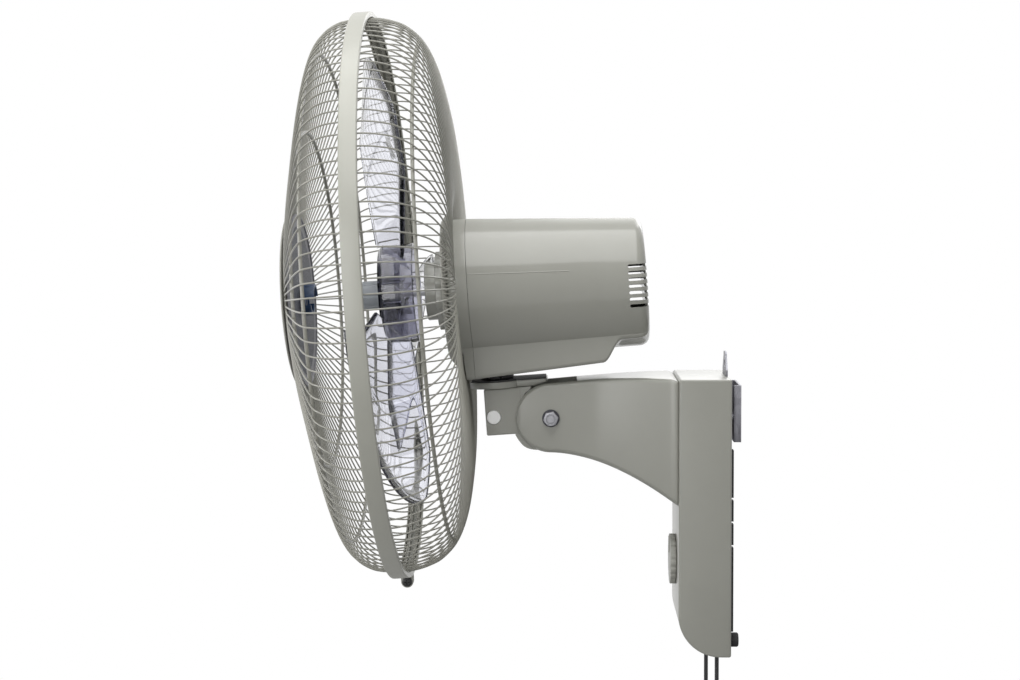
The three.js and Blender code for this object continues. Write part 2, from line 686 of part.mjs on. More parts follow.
// Lobed ring nut that holds the rear guard against the front cover.
function guardNut() {
  const shape = new THREE.Shape();
  const corners = GUARD_NUT_LOBES * 4;
  for (let i = 0; i < corners; i += 1) {
    const angle = (2 * Math.PI * i) / corners;
    const radius = NOSE_RADIUS + GUARD_NUT_WALL - (i % 4 < 2 ? 0 : GUARD_NUT_GRIP);
    if (i === 0) shape.moveTo(radius, 0);
    else shape.lineTo(radius * Math.cos(angle), radius * Math.sin(angle));
  }
  const bore = new THREE.Path();
  bore.absarc(0, 0, NOSE_RADIUS + FIT, 0, 2 * Math.PI);
  shape.holes.push(bore);
  const seat = COVER_FRONT - PLATE_REST - 2 * FIT;
  return extrude(shape, seat - GUARD_NUT_LENGTH, seat, 'y', { curveSegments: 12 });
}

// ---------------------------------------------------------------- motor and gears, about the fan axis

const statorRear = STATOR_FRONT + STATOR_LENGTH;
const gearboxFront = statorRear + SHIELD_REACH + FIT;
const crankAlong = gearboxFront + GEARBOX_LENGTH / 2;
const swivelAlong = RIM_AHEAD - SWIVEL_AHEAD;

function stator() {
  const bore = ROTOR_RADIUS + RUNNING;
  const winding = 8;
  return revolve([
    [bore, STATOR_FRONT], [bore + 4, STATOR_FRONT - winding], [STATOR_RADIUS - 7, STATOR_FRONT - winding],
    [STATOR_RADIUS - 5, STATOR_FRONT], [STATOR_RADIUS, STATOR_FRONT], [STATOR_RADIUS, statorRear],
    [STATOR_RADIUS - 5, statorRear],
    [STATOR_RADIUS - 7, statorRear + winding],
    [bore + 4, statorRear + winding],
    [bore, statorRear], [bore, STATOR_FRONT],
  ], 20);
}

// Rotor core pressed on the shaft that runs from the propeller to the gearbox.
function motorRotor() {
  const [front, rear] = [SPINNER_FRONT + 6 + RUNNING, gearboxFront + 4];
  return revolve([
    [0, front], [SHAFT_RADIUS, front], [SHAFT_RADIUS, STATOR_FRONT], [ROTOR_RADIUS, STATOR_FRONT],
    [ROTOR_RADIUS, statorRear], [SHAFT_RADIUS, statorRear], [SHAFT_RADIUS, rear], [0, rear],
  ], 24);
}

// Cup that carries a bearing and grips the end of the stator.
function endShield(end, inward, flange) {
  const seat = BEARING_RADIUS + FIT;
  const rim = STATOR_RADIUS + 4;
  const floor = end + inward * 3;
  const lip = end + inward * (SHIELD_REACH + 8);
  return revolve([
    [seat, end], [flange, end], [flange, floor], [rim, floor], [rim, lip],
    [STATOR_RADIUS + FIT, lip], [STATOR_RADIUS + FIT, floor], [seat, floor], [seat, end],
  ], 20);
}

const frontShield = () => endShield(STATOR_FRONT - SHIELD_REACH, 1, COVER_RADIUS - COVER_WALL - 2 * RUNNING);
const rearShield = () => endShield(statorRear + SHIELD_REACH, -1, STATOR_RADIUS + 4 + RUNNING);
const bearing = (from) => tube(SHAFT_RADIUS + FIT, BEARING_RADIUS, from, from + BEARING_LENGTH, 14);

function gearbox() {
  const half = GEARBOX_WIDTH / 2;
  const outline = roundedRect(-half, half, GEARBOX_BOTTOM, GEARBOX_TOP, 5);
  const body = extrude(outline, gearboxFront, gearboxFront + GEARBOX_LENGTH, 'y', { curveSegments: 3 });
  return cut(body, rod(SHAFT_RADIUS + RUNNING, gearboxFront - 1, gearboxFront + 6, 16));
}

// Crank on the gearbox's upright output shaft; its pin stops just above the link.
function swingCrank() {
  const top = GEARBOX_BOTTOM - FIT;
  const disc = rod(CRANK_THROW + 5, top - 8, top - 4, 20, 'z');
  const stem = rod(5, top - 5, top, 12, 'z');
  const pinEnd = LINK_BOTTOM + LINK_THICK + RUNNING;
  const pin = rod(LINK_PIN, pinEnd, top - 7, 10, 'z').translate(CRANK_THROW, 0, 0);
  return join(disc, stem, pin).translate(0, crankAlong, 0);
}

// Link from the crank's pin to the pin on the spindle's finger.
function swingLink() {
  const eyes = [[crankAlong, LINK_PIN + RUNNING, 0], [swivelAlong, LINK_PIN + FIT, Math.PI]];
  const shape = new THREE.Shape();
  for (const [y, , start] of eyes) shape.absarc(CRANK_THROW, y, 6, start, start + Math.PI);
  for (const [y, radius] of eyes) {
    const eye = new THREE.Path();
    eye.absarc(CRANK_THROW, y, radius, 0, 2 * Math.PI);
    shape.holes.push(eye);
  }
  return extrude(shape, LINK_BOTTOM, LINK_BOTTOM + LINK_THICK, 'z', { curveSegments: 6 });
}

// ---------------------------------------------------------------- neck, about the tilt bolt

const stopPinAt = () => [-NECK_FRONT + STOP_PIN_RADIUS + 1.4, NECK_BOTTOM + 17.5];

function tiltKnuckle() {
  const top = SWIVEL_PLATE_BOTTOM - FIT;
  const half = NECK_WIDTH / 2;
  const body = extrude(roundedRect(-NECK_FRONT, -NECK_BACK, NECK_BOTTOM, top, 4), -half, half, 'x',
    { bevel: 2, bevelSegments: 1, curveSegments: 2 });
  const outline = new THREE.Shape();
  outline.moveTo(-NECK_BACK - 4, TONGUE_RADIUS);
  outline.lineTo(0, TONGUE_RADIUS);
  outline.absarc(0, 0, TONGUE_RADIUS, Math.PI / 2, -Math.PI / 2, true);
  outline.absarc(0, 0, TONGUE_LOBE, deg(250), deg(201), true);
  outline.lineTo(-NECK_BACK - 4, NECK_BOTTOM + 3);
  const tongue = extrude(outline, 0.5 - half, half - 0.5, 'x', { curveSegments: 6 });
  const boltHole = rod(TILT_BOLT + FIT, -half - 1, half + 1, 16, 'x');
  const pinHole = rod(STOP_PIN_RADIUS + FIT, -half - 1, half + 1, 20, 'x').translate(0, ...stopPinAt());
  const spindle = rod(SWIVEL_SPINDLE + FIT, SPINDLE_BOTTOM, top + 1, 20, 'z');
  const spindleHole = spindle.translate(0, -SWIVEL_AHEAD, 0);
  return cut(join(body, tongue), boltHole, pinHole, spindleHole);
}

function stopPin() {
  const end = NECK_WIDTH / 2 + 1.2;
  return rod(STOP_PIN_RADIUS, -end, end, 20, 'x').translate(0, ...stopPinAt());
}

// Round plate with a tail under the head, and the dark disc of the same outline on it.
function plateOutline(radius, tailWidth, tailEnd) {
  const shape = new THREE.Shape();
  const half = tailWidth / 2;
  const start = Math.asin(half / radius);
  shape.absarc(0, -SWIVEL_AHEAD, radius, Math.PI / 2 + start, 2.5 * Math.PI - start);
  shape.lineTo(half, tailEnd - 4);
  shape.absarc(half - 4, tailEnd - 4, 4, 0, Math.PI / 2);
  shape.lineTo(4 - half, tailEnd);
  shape.absarc(4 - half, tailEnd - 4, 4, Math.PI / 2, Math.PI);
  const bore = new THREE.Path();
  bore.absarc(0, -SWIVEL_AHEAD, SWIVEL_SPINDLE + FIT, 0, 2 * Math.PI);
  shape.holes.push(bore);
  return shape;
}

function swivelPlate() {
  const [bottom, top] = [SWIVEL_PLATE_BOTTOM, SWIVEL_PLATE_BOTTOM + SWIVEL_PLATE_THICK];
  const plate = extrude(plateOutline(SWIVEL_PLATE_RADIUS, 38, -1), bottom, top, 'z', { curveSegments: 8 });
  const tailBehind = -SWIVEL_AHEAD + SWIVEL_PLATE_RADIUS + 2;
  const underTail = block(-40, 40, tailBehind, 10, bottom - 1, top - 2.4);
  return cut(plate, underTail);
}

const frictionBottom = () => SWIVEL_PLATE_BOTTOM + SWIVEL_PLATE_THICK + FIT;

function frictionDisc() {
  const from = frictionBottom();
  return extrude(plateOutline(SWIVEL_PLATE_RADIUS - 2, 34, -2), from, from + FRICTION_DISC_THICK, 'z',
    { curveSegments: 8 });
}

// Dark collar under the motor housing, with notches across its rim.
function swivelCollar() {
  const from = frictionBottom() + FRICTION_DISC_THICK + FIT;
  const to = AXIS_HEIGHT - BELLY_DEPTH - FIT;
  const ring = tube(SWIVEL_SPINDLE + FIT, SWIVEL_COLLAR_RADIUS, from, to, 20, 'z');
  const notches = [-8, 4].map((y) => block(-20, 20, y - 0.9, y + 0.9, from + 0.8, to + 1));
  return cut(ring, ...notches).translate(0, -SWIVEL_AHEAD, 0);
}

// Spindle that stands still in the knuckle, with a finger and a pin for the swing link.
function swivelSpindle() {
  const top = AXIS_HEIGHT + LINK_BOTTOM - FIT;
  const stem = rod(SWIVEL_SPINDLE, SPINDLE_BOTTOM + FIT, top, 20, 'z');
  const finger = block(0, CRANK_THROW + 4, -4, 4, top - 4, top);
  const pin = rod(LINK_PIN, top - 1, top + FIT + LINK_THICK + RUNNING, 10, 'z').translate(CRANK_THROW, 0, 0);
  return join(stem, finger, pin).translate(0, -SWIVEL_AHEAD, 0);
}

const boltSeat = ARM_WIDTH / 2 + WASHER + 2 * FIT;

function tiltBolt() {
  const head = rod(BOLT_HEAD, boltSeat, boltSeat + 5.3, 6, 'x');
  const stem = rod(TILT_BOLT, -boltSeat - 10, boltSeat + 1, 16, 'x');
  return join(head, stem);
}

const tiltNut = () => hexNut(TILT_BOLT + FIT, BOLT_HEAD, -boltSeat - 6.5, -boltSeat);

function tiltWasher(side) {
  const from = ARM_WIDTH / 2 + FIT;
  const ring = tube(TILT_BOLT + FIT, 8.4, from, from + WASHER, 14, 'x');
  return side > 0 ? ring : ring.rotateZ(Math.PI);
}

// ---------------------------------------------------------------- arm, in the frame of the wall

const armSlotHalf = () => NECK_WIDTH / 2 + RUNNING;

function armHalfWidth(y) {
  const flareFrom = BOX_FRONT - 79;
  const t = clamp((y - flareFrom) / (BOX_FRONT - flareFrom), 0, 1);
  return lerp(ARM_WIDTH / 2, BOX_WIDTH / 2 - 1, Math.pow(t, 1.5));
}

function armTop(y) {
  const t = clamp((y - PIVOT_Y) / (BOX_FRONT - 22 - PIVOT_Y), 0, 1);
  return lerp(PIVOT_Z + ARM_NOSE_RADIUS, BOX_TOP, Math.sin((t * Math.PI) / 2));
}

function armBottom(y) {
  const t = clamp((y - PIVOT_Y) / ARM_REACH, 0, 1);
  return PIVOT_Z - ARM_NOSE_RADIUS - ARM_DROP * Math.pow(t, 1.75);
}

// Rounded rectangle of the arm at a distance y, drawn in by an inset.
function armSection(y, inset) {
  const dy = Math.max(PIVOT_Y - y, 0);
  const nose = dy > 0 ? Math.sqrt(Math.max(ARM_NOSE_RADIUS ** 2 - dy * dy, 0)) : ARM_NOSE_RADIUS;
  const tip = Math.min(dy > 0 ? ARM_NOSE_RADIUS - dy : ARM_EDGE, ARM_EDGE);
  const tipInset = ARM_EDGE - Math.sqrt(ARM_EDGE ** 2 - (ARM_EDGE - tip) ** 2);
  const end = clamp((y - (BOX_FRONT - 8)) / 8, 0, 1);
  const endInset = 3 * (1 - Math.sqrt(1 - end * end * 0.99));
  const half = armHalfWidth(y) - inset - tipInset * 0.6 - endInset;
  const top = (dy > 0 ? PIVOT_Z + nose : armTop(y)) - inset - endInset;
  const bottom = (dy > 0 ? PIVOT_Z - nose : armBottom(y)) + inset;
  const radius = Math.min(Math.max(ARM_EDGE - inset, 1.2), (top - bottom) / 2 - 0.05);
  const points = [];
  for (const [cx, cz, from] of [[1, 1, 0], [-1, 1, 90], [-1, -1, 180], [1, -1, 270]]) {
    for (const step of [0, 45, 90]) {
      const angle = deg(from + step);
      points.push(new THREE.Vector3(
        cx * (half - radius) + radius * Math.cos(angle), y,
        (cz > 0 ? top - radius : bottom + radius) + radius * Math.sin(angle)));
    }
  }
  return points;
}

function armSkin(from, to, inset, steps) {
  const stations = [];
  if (from < PIVOT_Y) {
    for (const angle of [8, 20, 34, 50, 68]) {
      stations.push(PIVOT_Y - ARM_NOSE_RADIUS * Math.cos(deg(angle)));
    }
  }
  const start = Math.max(from, PIVOT_Y);
  for (let i = 0; i <= steps; i += 1) stations.push(lerp(start, Math.min(to, BOX_FRONT - 8), i / steps));
  for (const part of [0.5, 0.85, 1]) {
    if (to > BOX_FRONT - 8) stations.push(lerp(BOX_FRONT - 8, to, part));
  }
  return loft(stations.map((y) => armSection(y, inset)).reverse());
}

function supportArm() {
  const slotEnd = PIVOT_Y + TONGUE_RADIUS + RUNNING;
  const shell = armSkin(PIVOT_Y - ARM_NOSE_RADIUS, BOX_FRONT - FIT, 0, 7);
  const hollow = armSkin(slotEnd - 1, BOX_FRONT + 2, ARM_WALL, 5);
  const half = armSlotHalf();
  const slot = block(-half, half, PIVOT_Y - 60, slotEnd, PIVOT_Z - 60, PIVOT_Z + 60);
  const boltHole = rod(TILT_BOLT + FIT, -60, 60, 16, 'x').translate(0, PIVOT_Y, PIVOT_Z);
  return cut(shell, hollow, slot, boltHole);
}

// ---------------------------------------------------------------- wall box

function boxOutline(inset) {
  const [front, rear] = [BOX_FRONT + inset, BOX_REAR];
  const [bottom, top] = [BOX_BOTTOM + inset, BOX_TOP - inset];
  const toe = BOX_TOE_RADIUS - inset;
  const shape = new THREE.Shape();
  shape.moveTo(rear, bottom);
  shape.lineTo(rear, top);
  shape.lineTo(front + BOX_EDGE, top);
  shape.absarc(front + BOX_EDGE, top - BOX_EDGE, BOX_EDGE, Math.PI / 2, Math.PI);
  shape.lineTo(front, bottom + toe);
  shape.absarc(front + toe, bottom + toe, toe, Math.PI, 1.5 * Math.PI);
  return shape;
}

function wallBox() {
  const half = BOX_WIDTH / 2;
  const inner = half - BOX_WALL;
  const shell = extrude(boxOutline(0), -half, half, 'x', { bevel: 2, curveSegments: 7 });
  const padTop = BOX_TOP + TAB_PAD_HEIGHT;
  const pad = block(-TAB_WIDTH / 2, TAB_WIDTH / 2, BOX_REAR - TAB_PAD, BOX_REAR, BOX_TOP - 1, padTop);
  const hollow = extrude(boxOutline(BOX_WALL), -inner, inner, 'x', { curveSegments: 6 }).translate(0, 2.2, 0);
  const mouth = block(-inner, inner, BOX_REAR - 4, BOX_REAR + 3, BOX_BOTTOM + BOX_WALL, BOX_TOP - BOX_WALL);
  const halfNotch = TAB_WIDTH / 2 + FIT;
  const notch = block(-halfNotch, halfNotch, plateFront - FIT, BOX_REAR + 3, BOX_TOP - 10, BOX_TOP + 5);
  const cableHole = rod(14, BOX_FRONT - 3, BOX_FRONT + 8, 20).translate(0, 0, -20);
  const knobHole = rod(4.2, BOX_FRONT - 3, BOX_FRONT + 8, 16).translate(0, 0, KNOB_HEIGHT);
  const cordHoles = [POWER_CORD_AT, SWING_CORD_AT].map(([x, y]) =>
    rod(CORD_GUIDE_RADIUS + FIT, BOX_BOTTOM - 6, BOX_BOTTOM + 12, 16, 'z').translate(x, y, 0));
  return cut(join(shell, pad), hollow, mouth, notch, cableHole, knobHole, ...cordHoles);
}

const plateRear = BOX_REAR - PLATE_INSET;
const plateFront = plateRear - PLATE_SHEET;

// Outline of the tab, with its keyhole.
function tabOutline(base) {
  const [half, tip, top] = [TAB_WIDTH / 2, TAB_TIP_WIDTH / 2, BOX_TOP + TAB_RISE];
  const shape = new THREE.Shape();
  shape.moveTo(half, base);
  shape.lineTo(half, BOX_TOP + 6);
  shape.lineTo(tip, top - 4);
  shape.absarc(tip - 4, top - 4, 4, 0, Math.PI / 2);
  shape.absarc(4 - tip, top - 4, 4, Math.PI / 2, Math.PI);
  shape.lineTo(-half, BOX_TOP + 6);
  shape.lineTo(-half, base);
  const keyhole = new THREE.Path();
  keyhole.absarc(0, top - 12, 4, deg(-60), deg(240));
  keyhole.lineTo(-2, top - 18);
  keyhole.lineTo(2, top - 18);
  shape.holes.push(keyhole);
  return shape;
}

// Sheet steel back of the box, with the tab and the hook that hangs in the wall bracket.
function backPlate() {
  const inner = BOX_WIDTH / 2 - BOX_WALL - FIT;
  const [bottom, top] = [BOX_BOTTOM + BOX_WALL + FIT, BOX_TOP - BOX_WALL - FIT];
  const sheet = block(-inner, inner, plateFront, plateRear, bottom, top);
  const tab = extrude(tabOutline(top - 8), plateFront, plateRear, 'y', { curveSegments: 6 });
  const hookOut = -BRACKET_SHEET - FIT;
  const halfHook = BRACKET_WIDTH / 2 - BRACKET_SHEET - 3;
  const riser = block(-halfHook, halfHook, plateRear - 1, hookOut, -6, -3);
  const lip = block(-halfHook, halfHook, hookOut - BRACKET_SHEET, hookOut, -20, -4);
  return join(sheet, tab, riser, lip);
}

function cushion(side) {
  const rear = plateRear + FIT;
  const inner = BOX_WIDTH / 2 - BOX_WALL - 1.5;
  const bottom = BOX_BOTTOM + CUSHION_RISE;
  const front = rear + CUSHION_THICK;
  const strip = block(inner - CUSHION_WIDTH, inner, rear, front, bottom, bottom + CUSHION_HEIGHT);
  const cross = [0.47, 0.6, 0.73].map((share) => {
    const z = bottom + share * CUSHION_HEIGHT;
    return block(inner - CUSHION_WIDTH - 1, inner + 1, rear + 1.2, front + 1, z - 1.4, z + 1.4);
  });
  const shape = cut(strip, ...cross);
  return side > 0 ? shape : shape.scale(-1, 1, 1);
}

function rubberFoot(x) {
  const rear = plateRear + FIT;
  const [r, tip] = [FOOT_RADIUS, rear + FOOT_HEIGHT];
  const foot = revolve([[0, rear], [r, rear], [r, tip - 1.2], [r - 1, tip], [0, tip]], 14);
  return moved(foot, x, 0, BOX_BOTTOM + FOOT_INSET);
}

function plateScrew(z) {
  const rear = plateRear + FIT;
  return moved(revolve([[0, rear], [3.8, rear], [3, rear + 1.8], [0, rear + 2.2]], 12), 0, 0, z);
}

// Channel that is screwed to the wall, with a slot for the hook of the box.
function wallBracket() {
  const [half, tall] = [BRACKET_WIDTH / 2, BRACKET_HEIGHT / 2];
  const channel = join(
    block(-half, half, -BRACKET_SHEET, 0, -tall, tall),
    block(-half, BRACKET_SHEET - half, -BRACKET_DEPTH, -BRACKET_SHEET / 2, -tall, tall),
    block(half - BRACKET_SHEET, half, -BRACKET_DEPTH, -BRACKET_SHEET / 2, -tall, tall),
    block(-half + 1, half - 1, -BRACKET_DEPTH, -BRACKET_DEPTH + BRACKET_SHEET, -tall, -8));
  const screwHoles = [-1, 1].map((side) => {
    const hole = rod(BRACKET_HOLE, -BRACKET_SHEET - 1, 1, 24);
    return hole.translate((side * BRACKET_SCREW_PITCH) / 2, 0, BRACKET_SCREW_HEIGHT);
  });
  return cut(channel, ...screwHoles);
}

// ---------------------------------------------------------------- controls in the box

function speedKnob() {
  const [back, front] = [BOX_FRONT - FIT, BOX_FRONT - KNOB_PROUD];
  const lobes = 20;
  const shape = new THREE.Shape();
  for (let i = 0; i < lobes * 3; i += 1) {
    const angle = (2 * Math.PI * i) / (lobes * 3);
    const radius = KNOB_RADIUS - (i % 3 === 0 ? 1 : 0);
    if (i === 0) shape.moveTo(radius, 0);
    else shape.lineTo(radius * Math.cos(angle), radius * Math.sin(angle));
  }
  const body = extrude(shape, front + 1, back, 'y');
  const pointer = block(-1.6, 1.6, front, front + 2, 6, KNOB_RADIUS - 2);
  const socket = rod(3 + FIT, back - 4, back + 1, 16);
  return cut(join(body, pointer), socket).translate(0, 0, KNOB_HEIGHT);
}

function knobSpindle() {
  return rod(3, BOX_FRONT - 3.6, BOX_FRONT + BOX_WALL + 4, 16).translate(0, 0, KNOB_HEIGHT);
}

function rotarySwitch() {
  const front = BOX_FRONT + BOX_WALL + 4 + FIT;
  const half = ROTARY_SWITCH / 2;
  return extrude(roundedRect(-half, half, -half, half, 3), front, front + ROTARY_SWITCH_DEPTH, 'y',
    { curveSegments: 2 }).translate(0, 0, KNOB_HEIGHT);
}

function pullSwitch([x, y]) {
  const bottom = BOX_BOTTOM + SWITCH_RISE;
  const [halfWide, halfDeep] = [SWITCH_WIDTH / 2, SWITCH_DEPTH / 2];
  const body = block(x - halfWide, x + halfWide, y - halfDeep, y + halfDeep, bottom, bottom + SWITCH_HEIGHT);
  const bore = rod(CORD_RADIUS + RUNNING, bottom - 1, bottom + SWITCH_HEIGHT * 0.6, 12, 'z');
  return cut(body, bore.translate(x, y, 0));
}

function cordGuide([x, y]) {
  const [bore, flange] = [CORD_RADIUS + FIT, CORD_GUIDE_RADIUS + 1.4];
  return revolve([
    [bore, BOX_BOTTOM - 1.5], [flange, BOX_BOTTOM - 1.5], [flange, BOX_BOTTOM - FIT],
    [CORD_GUIDE_RADIUS, BOX_BOTTOM - FIT], [CORD_GUIDE_RADIUS, BOX_BOTTOM + 5], [bore, BOX_BOTTOM + 5],
    [bore, BOX_BOTTOM - 1.5],
  ], 12, 'z').translate(x, y, 0);
}

// Pull cord, hanging straight from its switch into its knob.
function pullCord([x, y], length) {
  const path = new THREE.LineCurve3(
    new THREE.Vector3(x, y, BOX_BOTTOM + SWITCH_RISE + 2), new THREE.Vector3(x, y, BOX_BOTTOM - length));
  const section = new THREE.Shape();
  section.absarc(0, 0, CORD_RADIUS, 0, 2 * Math.PI);
  return new THREE.ExtrudeGeometry(section, { steps: 18, extrudePath: path, curveSegments: 4 });
}

function pullKnob([x, y], length) {
  const top = BOX_BOTTOM - length - FIT;
  const r = PULL_RADIUS;
  return revolve([
    [0, top], [r * 0.45, top], [r * 0.7, top - 6], [r, top - PULL_LENGTH + 6], [r, top - PULL_LENGTH + 2],
    [r * 0.75, top - PULL_LENGTH], [0, top - PULL_LENGTH],
  ], 14, 'z').translate(x, y, 0);
}

function capacitor() {
  const side = INNER_INSET - BOX_WIDTH / 2;
  const outline = roundedRect(side, side + CAPACITOR[0], INNER_TOP - CAPACITOR[2], INNER_TOP, 3);
  return extrude(outline, BOX_FRONT + 10, BOX_FRONT + 10 + CAPACITOR[1], 'y', { curveSegments: 2 });
}

function terminalBlock() {
  const [start, front] = [BOX_WIDTH / 2 - INNER_INSET - TERMINALS * TERMINAL_PITCH, BOX_FRONT + 10];
  const [top, bottom] = [INNER_TOP - 16, INNER_TOP - 34];
  const teeth = Array.from({ length: TERMINALS }, (_, k) => {
    const x = start + k * TERMINAL_PITCH;
    return block(x, x + TERMINAL_PITCH * 0.82, front, front + 12, bottom, top);
  });
  const end = start + (TERMINALS - 0.2) * TERMINAL_PITCH;
  const strip = block(start, end, front + 2, front + 10, bottom + 4, top - 4);
  return join(strip, ...teeth);
}

// ---------------------------------------------------------------- assembly

const PLASTIC = { color: 0xa9a99f, roughness: 0.42, metalness: 0 };
const WIRE_PAINT = { color: 0xa8a79c, roughness: 0.4, metalness: 0.1 };
const BAND_PAINT = { color: 0xb4b3a8, roughness: 0.38, metalness: 0.1 };
const BLACK = { color: 0x1b1b1c, roughness: 0.6, metalness: 0 };
const DARK_GREY = { color: 0x4a4d50, roughness: 0.5, metalness: 0 };
const STEEL = { color: 0x9a9b9d, roughness: 0.4, metalness: 0.9 };
const ZINC = { color: 0x8b8a90, roughness: 0.45, metalness: 0.85 };
const CLEAR = { color: 0xc9cbe0, roughness: 0.1, metalness: 0 };
const WHITE = { color: 0xe4e4e2, roughness: 0.5, metalness: 0 };
const BLUE = { color: 0x1d3550, roughness: 0.45, metalness: 0 };
const COPPER = { color: 0x8d4f2c, roughness: 0.5, metalness: 0.6 };
const RUBBER = { color: 0x161616, roughness: 0.85, metalness: 0 };

function piece(name, geometry, material) {
  const mesh = new THREE.Mesh(tidy(geometry), new THREE.MeshStandardMaterial(material));
  mesh.name = name;
  return mesh;
}

const fan = new THREE.Group();

fan.add(
  piece('wall_bracket', wallBracket(), ZINC),
  piece('wall_box', wallBox(), PLASTIC),
  piece('back_plate', backPlate(), ZINC),
  piece('cushion_left', cushion(-1), RUBBER),
  piece('cushion_right', cushion(1), RUBBER),
  piece('rubber_foot_left', rubberFoot(FOOT_INSET - BOX_WIDTH / 2), RUBBER),
  piece('rubber_foot_right', rubberFoot(BOX_WIDTH / 2 - FOOT_INSET), RUBBER),
  piece('plate_screw_upper', plateScrew(BOX_TOP - 12), STEEL),
  piece('plate_screw_lower', plateScrew(BOX_BOTTOM + 34), STEEL),
  piece('support_arm', supportArm(), PLASTIC),
  piece('speed_knob', speedKnob(), PLASTIC),
  piece('knob_spindle', knobSpindle(), STEEL),
  piece('rotary_switch', rotarySwitch(), BLACK),
  piece('power_switch', pullSwitch(POWER_CORD_AT), BLACK),
  piece('swing_switch', pullSwitch(SWING_CORD_AT), BLACK),
  piece('power_cord_guide', cordGuide(POWER_CORD_AT), BLACK),
  piece('swing_cord_guide', cordGuide(SWING_CORD_AT), BLACK),
  piece('power_cord', pullCord(POWER_CORD_AT, POWER_CORD_LENGTH), BLACK),
  piece('swing_cord', pullCord(SWING_CORD_AT, SWING_CORD_LENGTH), BLACK),
  piece('power_pull', pullKnob(POWER_CORD_AT, POWER_CORD_LENGTH), BLACK),
  piece('swing_pull', pullKnob(SWING_CORD_AT, SWING_CORD_LENGTH), BLACK),
  piece('run_capacitor', capacitor(), DARK_GREY),
  piece('terminal_block', terminalBlock(), WHITE),
);

const pivot = new THREE.Group();
pivot.position.set(0, PIVOT_Y, PIVOT_Z);
pivot.add(
  piece('tilt_bolt', tiltBolt(), STEEL),
  piece('tilt_nut', tiltNut(), STEEL),
  piece('tilt_washer_near', tiltWasher(1), STEEL),
  piece('tilt_washer_far', tiltWasher(-1), STEEL),
);

const neck = new THREE.Group();
neck.position.set(0, PIVOT_Y, PIVOT_Z);
neck.rotation.x = deg(TILT_DEG);
neck.add(
  piece('tilt_knuckle', tiltKnuckle(), PLASTIC),
  piece('stop_pin', stopPin(), WHITE),
  piece('swivel_plate', swivelPlate(), PLASTIC),
  piece('friction_disc', frictionDisc(), BLACK),
  piece('swivel_collar', swivelCollar(), BLACK),
  piece('swivel_spindle', swivelSpindle(), STEEL),
);

const head = new THREE.Group();
head.position.set(0, -RIM_AHEAD, AXIS_HEIGHT);
head.add(
  piece('front_guard', frontGuard(), WIRE_PAINT),
  piece('front_ring_outer', supportRing(frontPath(), FRONT_RING_STEPS[0]), WIRE_PAINT),
  piece('front_ring_inner', supportRing(frontPath(), FRONT_RING_STEPS[1]), WIRE_PAINT),
  piece('rear_guard', rearGuard(), WIRE_PAINT),
  piece('rear_ring', supportRing(rearPath(), REAR_RING_STEP), WIRE_PAINT),
  piece('rim_band', rimBand(), BAND_PAINT),
  piece('clamp_screw', clampScrew(), BLACK),
  piece('clamp_nut', clampNut(), BLACK),
  piece('badge_front', badgeFront(), PLASTIC),
  piece('badge_back', badgeBack(), DARK_GREY),
  piece('badge_clip', badgeClip(), BLUE),
  piece('front_cover', frontCover(), PLASTIC),
  piece('rear_cover', rearCover(), PLASTIC),
  piece('guard_nut', guardNut(), PLASTIC),
  piece('motor_stator', stator(), COPPER),
  piece('front_shield', frontShield(), STEEL),
  piece('rear_shield', rearShield(), STEEL),
  piece('front_bearing', bearing(STATOR_FRONT - SHIELD_REACH), STEEL),
  piece('rear_bearing', bearing(statorRear + SHIELD_REACH - BEARING_LENGTH), STEEL),
  piece('swing_gearbox', gearbox(), BLACK),
  piece('swing_crank', swingCrank(), STEEL),
  piece('swing_link', swingLink(), ZINC),
  piece('fan_blade', propeller(), CLEAR),
  piece('spinner', spinner(), DARK_GREY),
  piece('motor_rotor', motorRotor(), STEEL),
);
neck.add(head);
fan.add(neck, pivot);

export default fan;
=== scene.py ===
"""Looks of a wall mounted fan: fine shapes and finishes round its solid model.

Lengths are in millimetres until a piece is placed. The wall is the plane y = 0, the fan blows
towards -y and z is up.
"""

import json
import math

import bmesh
import bpy
import numpy as np
from mathutils import Matrix, Vector

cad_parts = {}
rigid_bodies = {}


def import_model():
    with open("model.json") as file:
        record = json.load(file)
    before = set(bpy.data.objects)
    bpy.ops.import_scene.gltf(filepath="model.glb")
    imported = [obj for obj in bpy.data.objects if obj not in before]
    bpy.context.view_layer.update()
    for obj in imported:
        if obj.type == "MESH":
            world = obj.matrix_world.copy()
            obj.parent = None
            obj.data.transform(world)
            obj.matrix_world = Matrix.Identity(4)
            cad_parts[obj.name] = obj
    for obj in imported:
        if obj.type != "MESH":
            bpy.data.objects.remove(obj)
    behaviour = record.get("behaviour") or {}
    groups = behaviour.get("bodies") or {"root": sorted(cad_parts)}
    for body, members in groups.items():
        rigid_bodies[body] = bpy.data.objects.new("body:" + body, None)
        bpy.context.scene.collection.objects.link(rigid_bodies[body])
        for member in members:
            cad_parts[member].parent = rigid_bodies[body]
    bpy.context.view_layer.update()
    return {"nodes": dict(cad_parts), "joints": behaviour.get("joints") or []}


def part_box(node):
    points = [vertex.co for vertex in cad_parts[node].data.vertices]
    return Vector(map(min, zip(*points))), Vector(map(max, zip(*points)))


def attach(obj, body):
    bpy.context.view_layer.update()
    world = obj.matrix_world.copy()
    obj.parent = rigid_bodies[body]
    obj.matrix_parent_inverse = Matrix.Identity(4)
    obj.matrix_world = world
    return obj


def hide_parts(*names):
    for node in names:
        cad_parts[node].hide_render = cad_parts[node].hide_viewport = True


MM = 0.001

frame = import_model()
joints = {joint["name"]: joint for joint in frame["joints"]}

# ---------------------------------------------------------------- places taken from the frame


def millimetre_box(node):
    low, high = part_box(node)
    return low / MM, high / MM


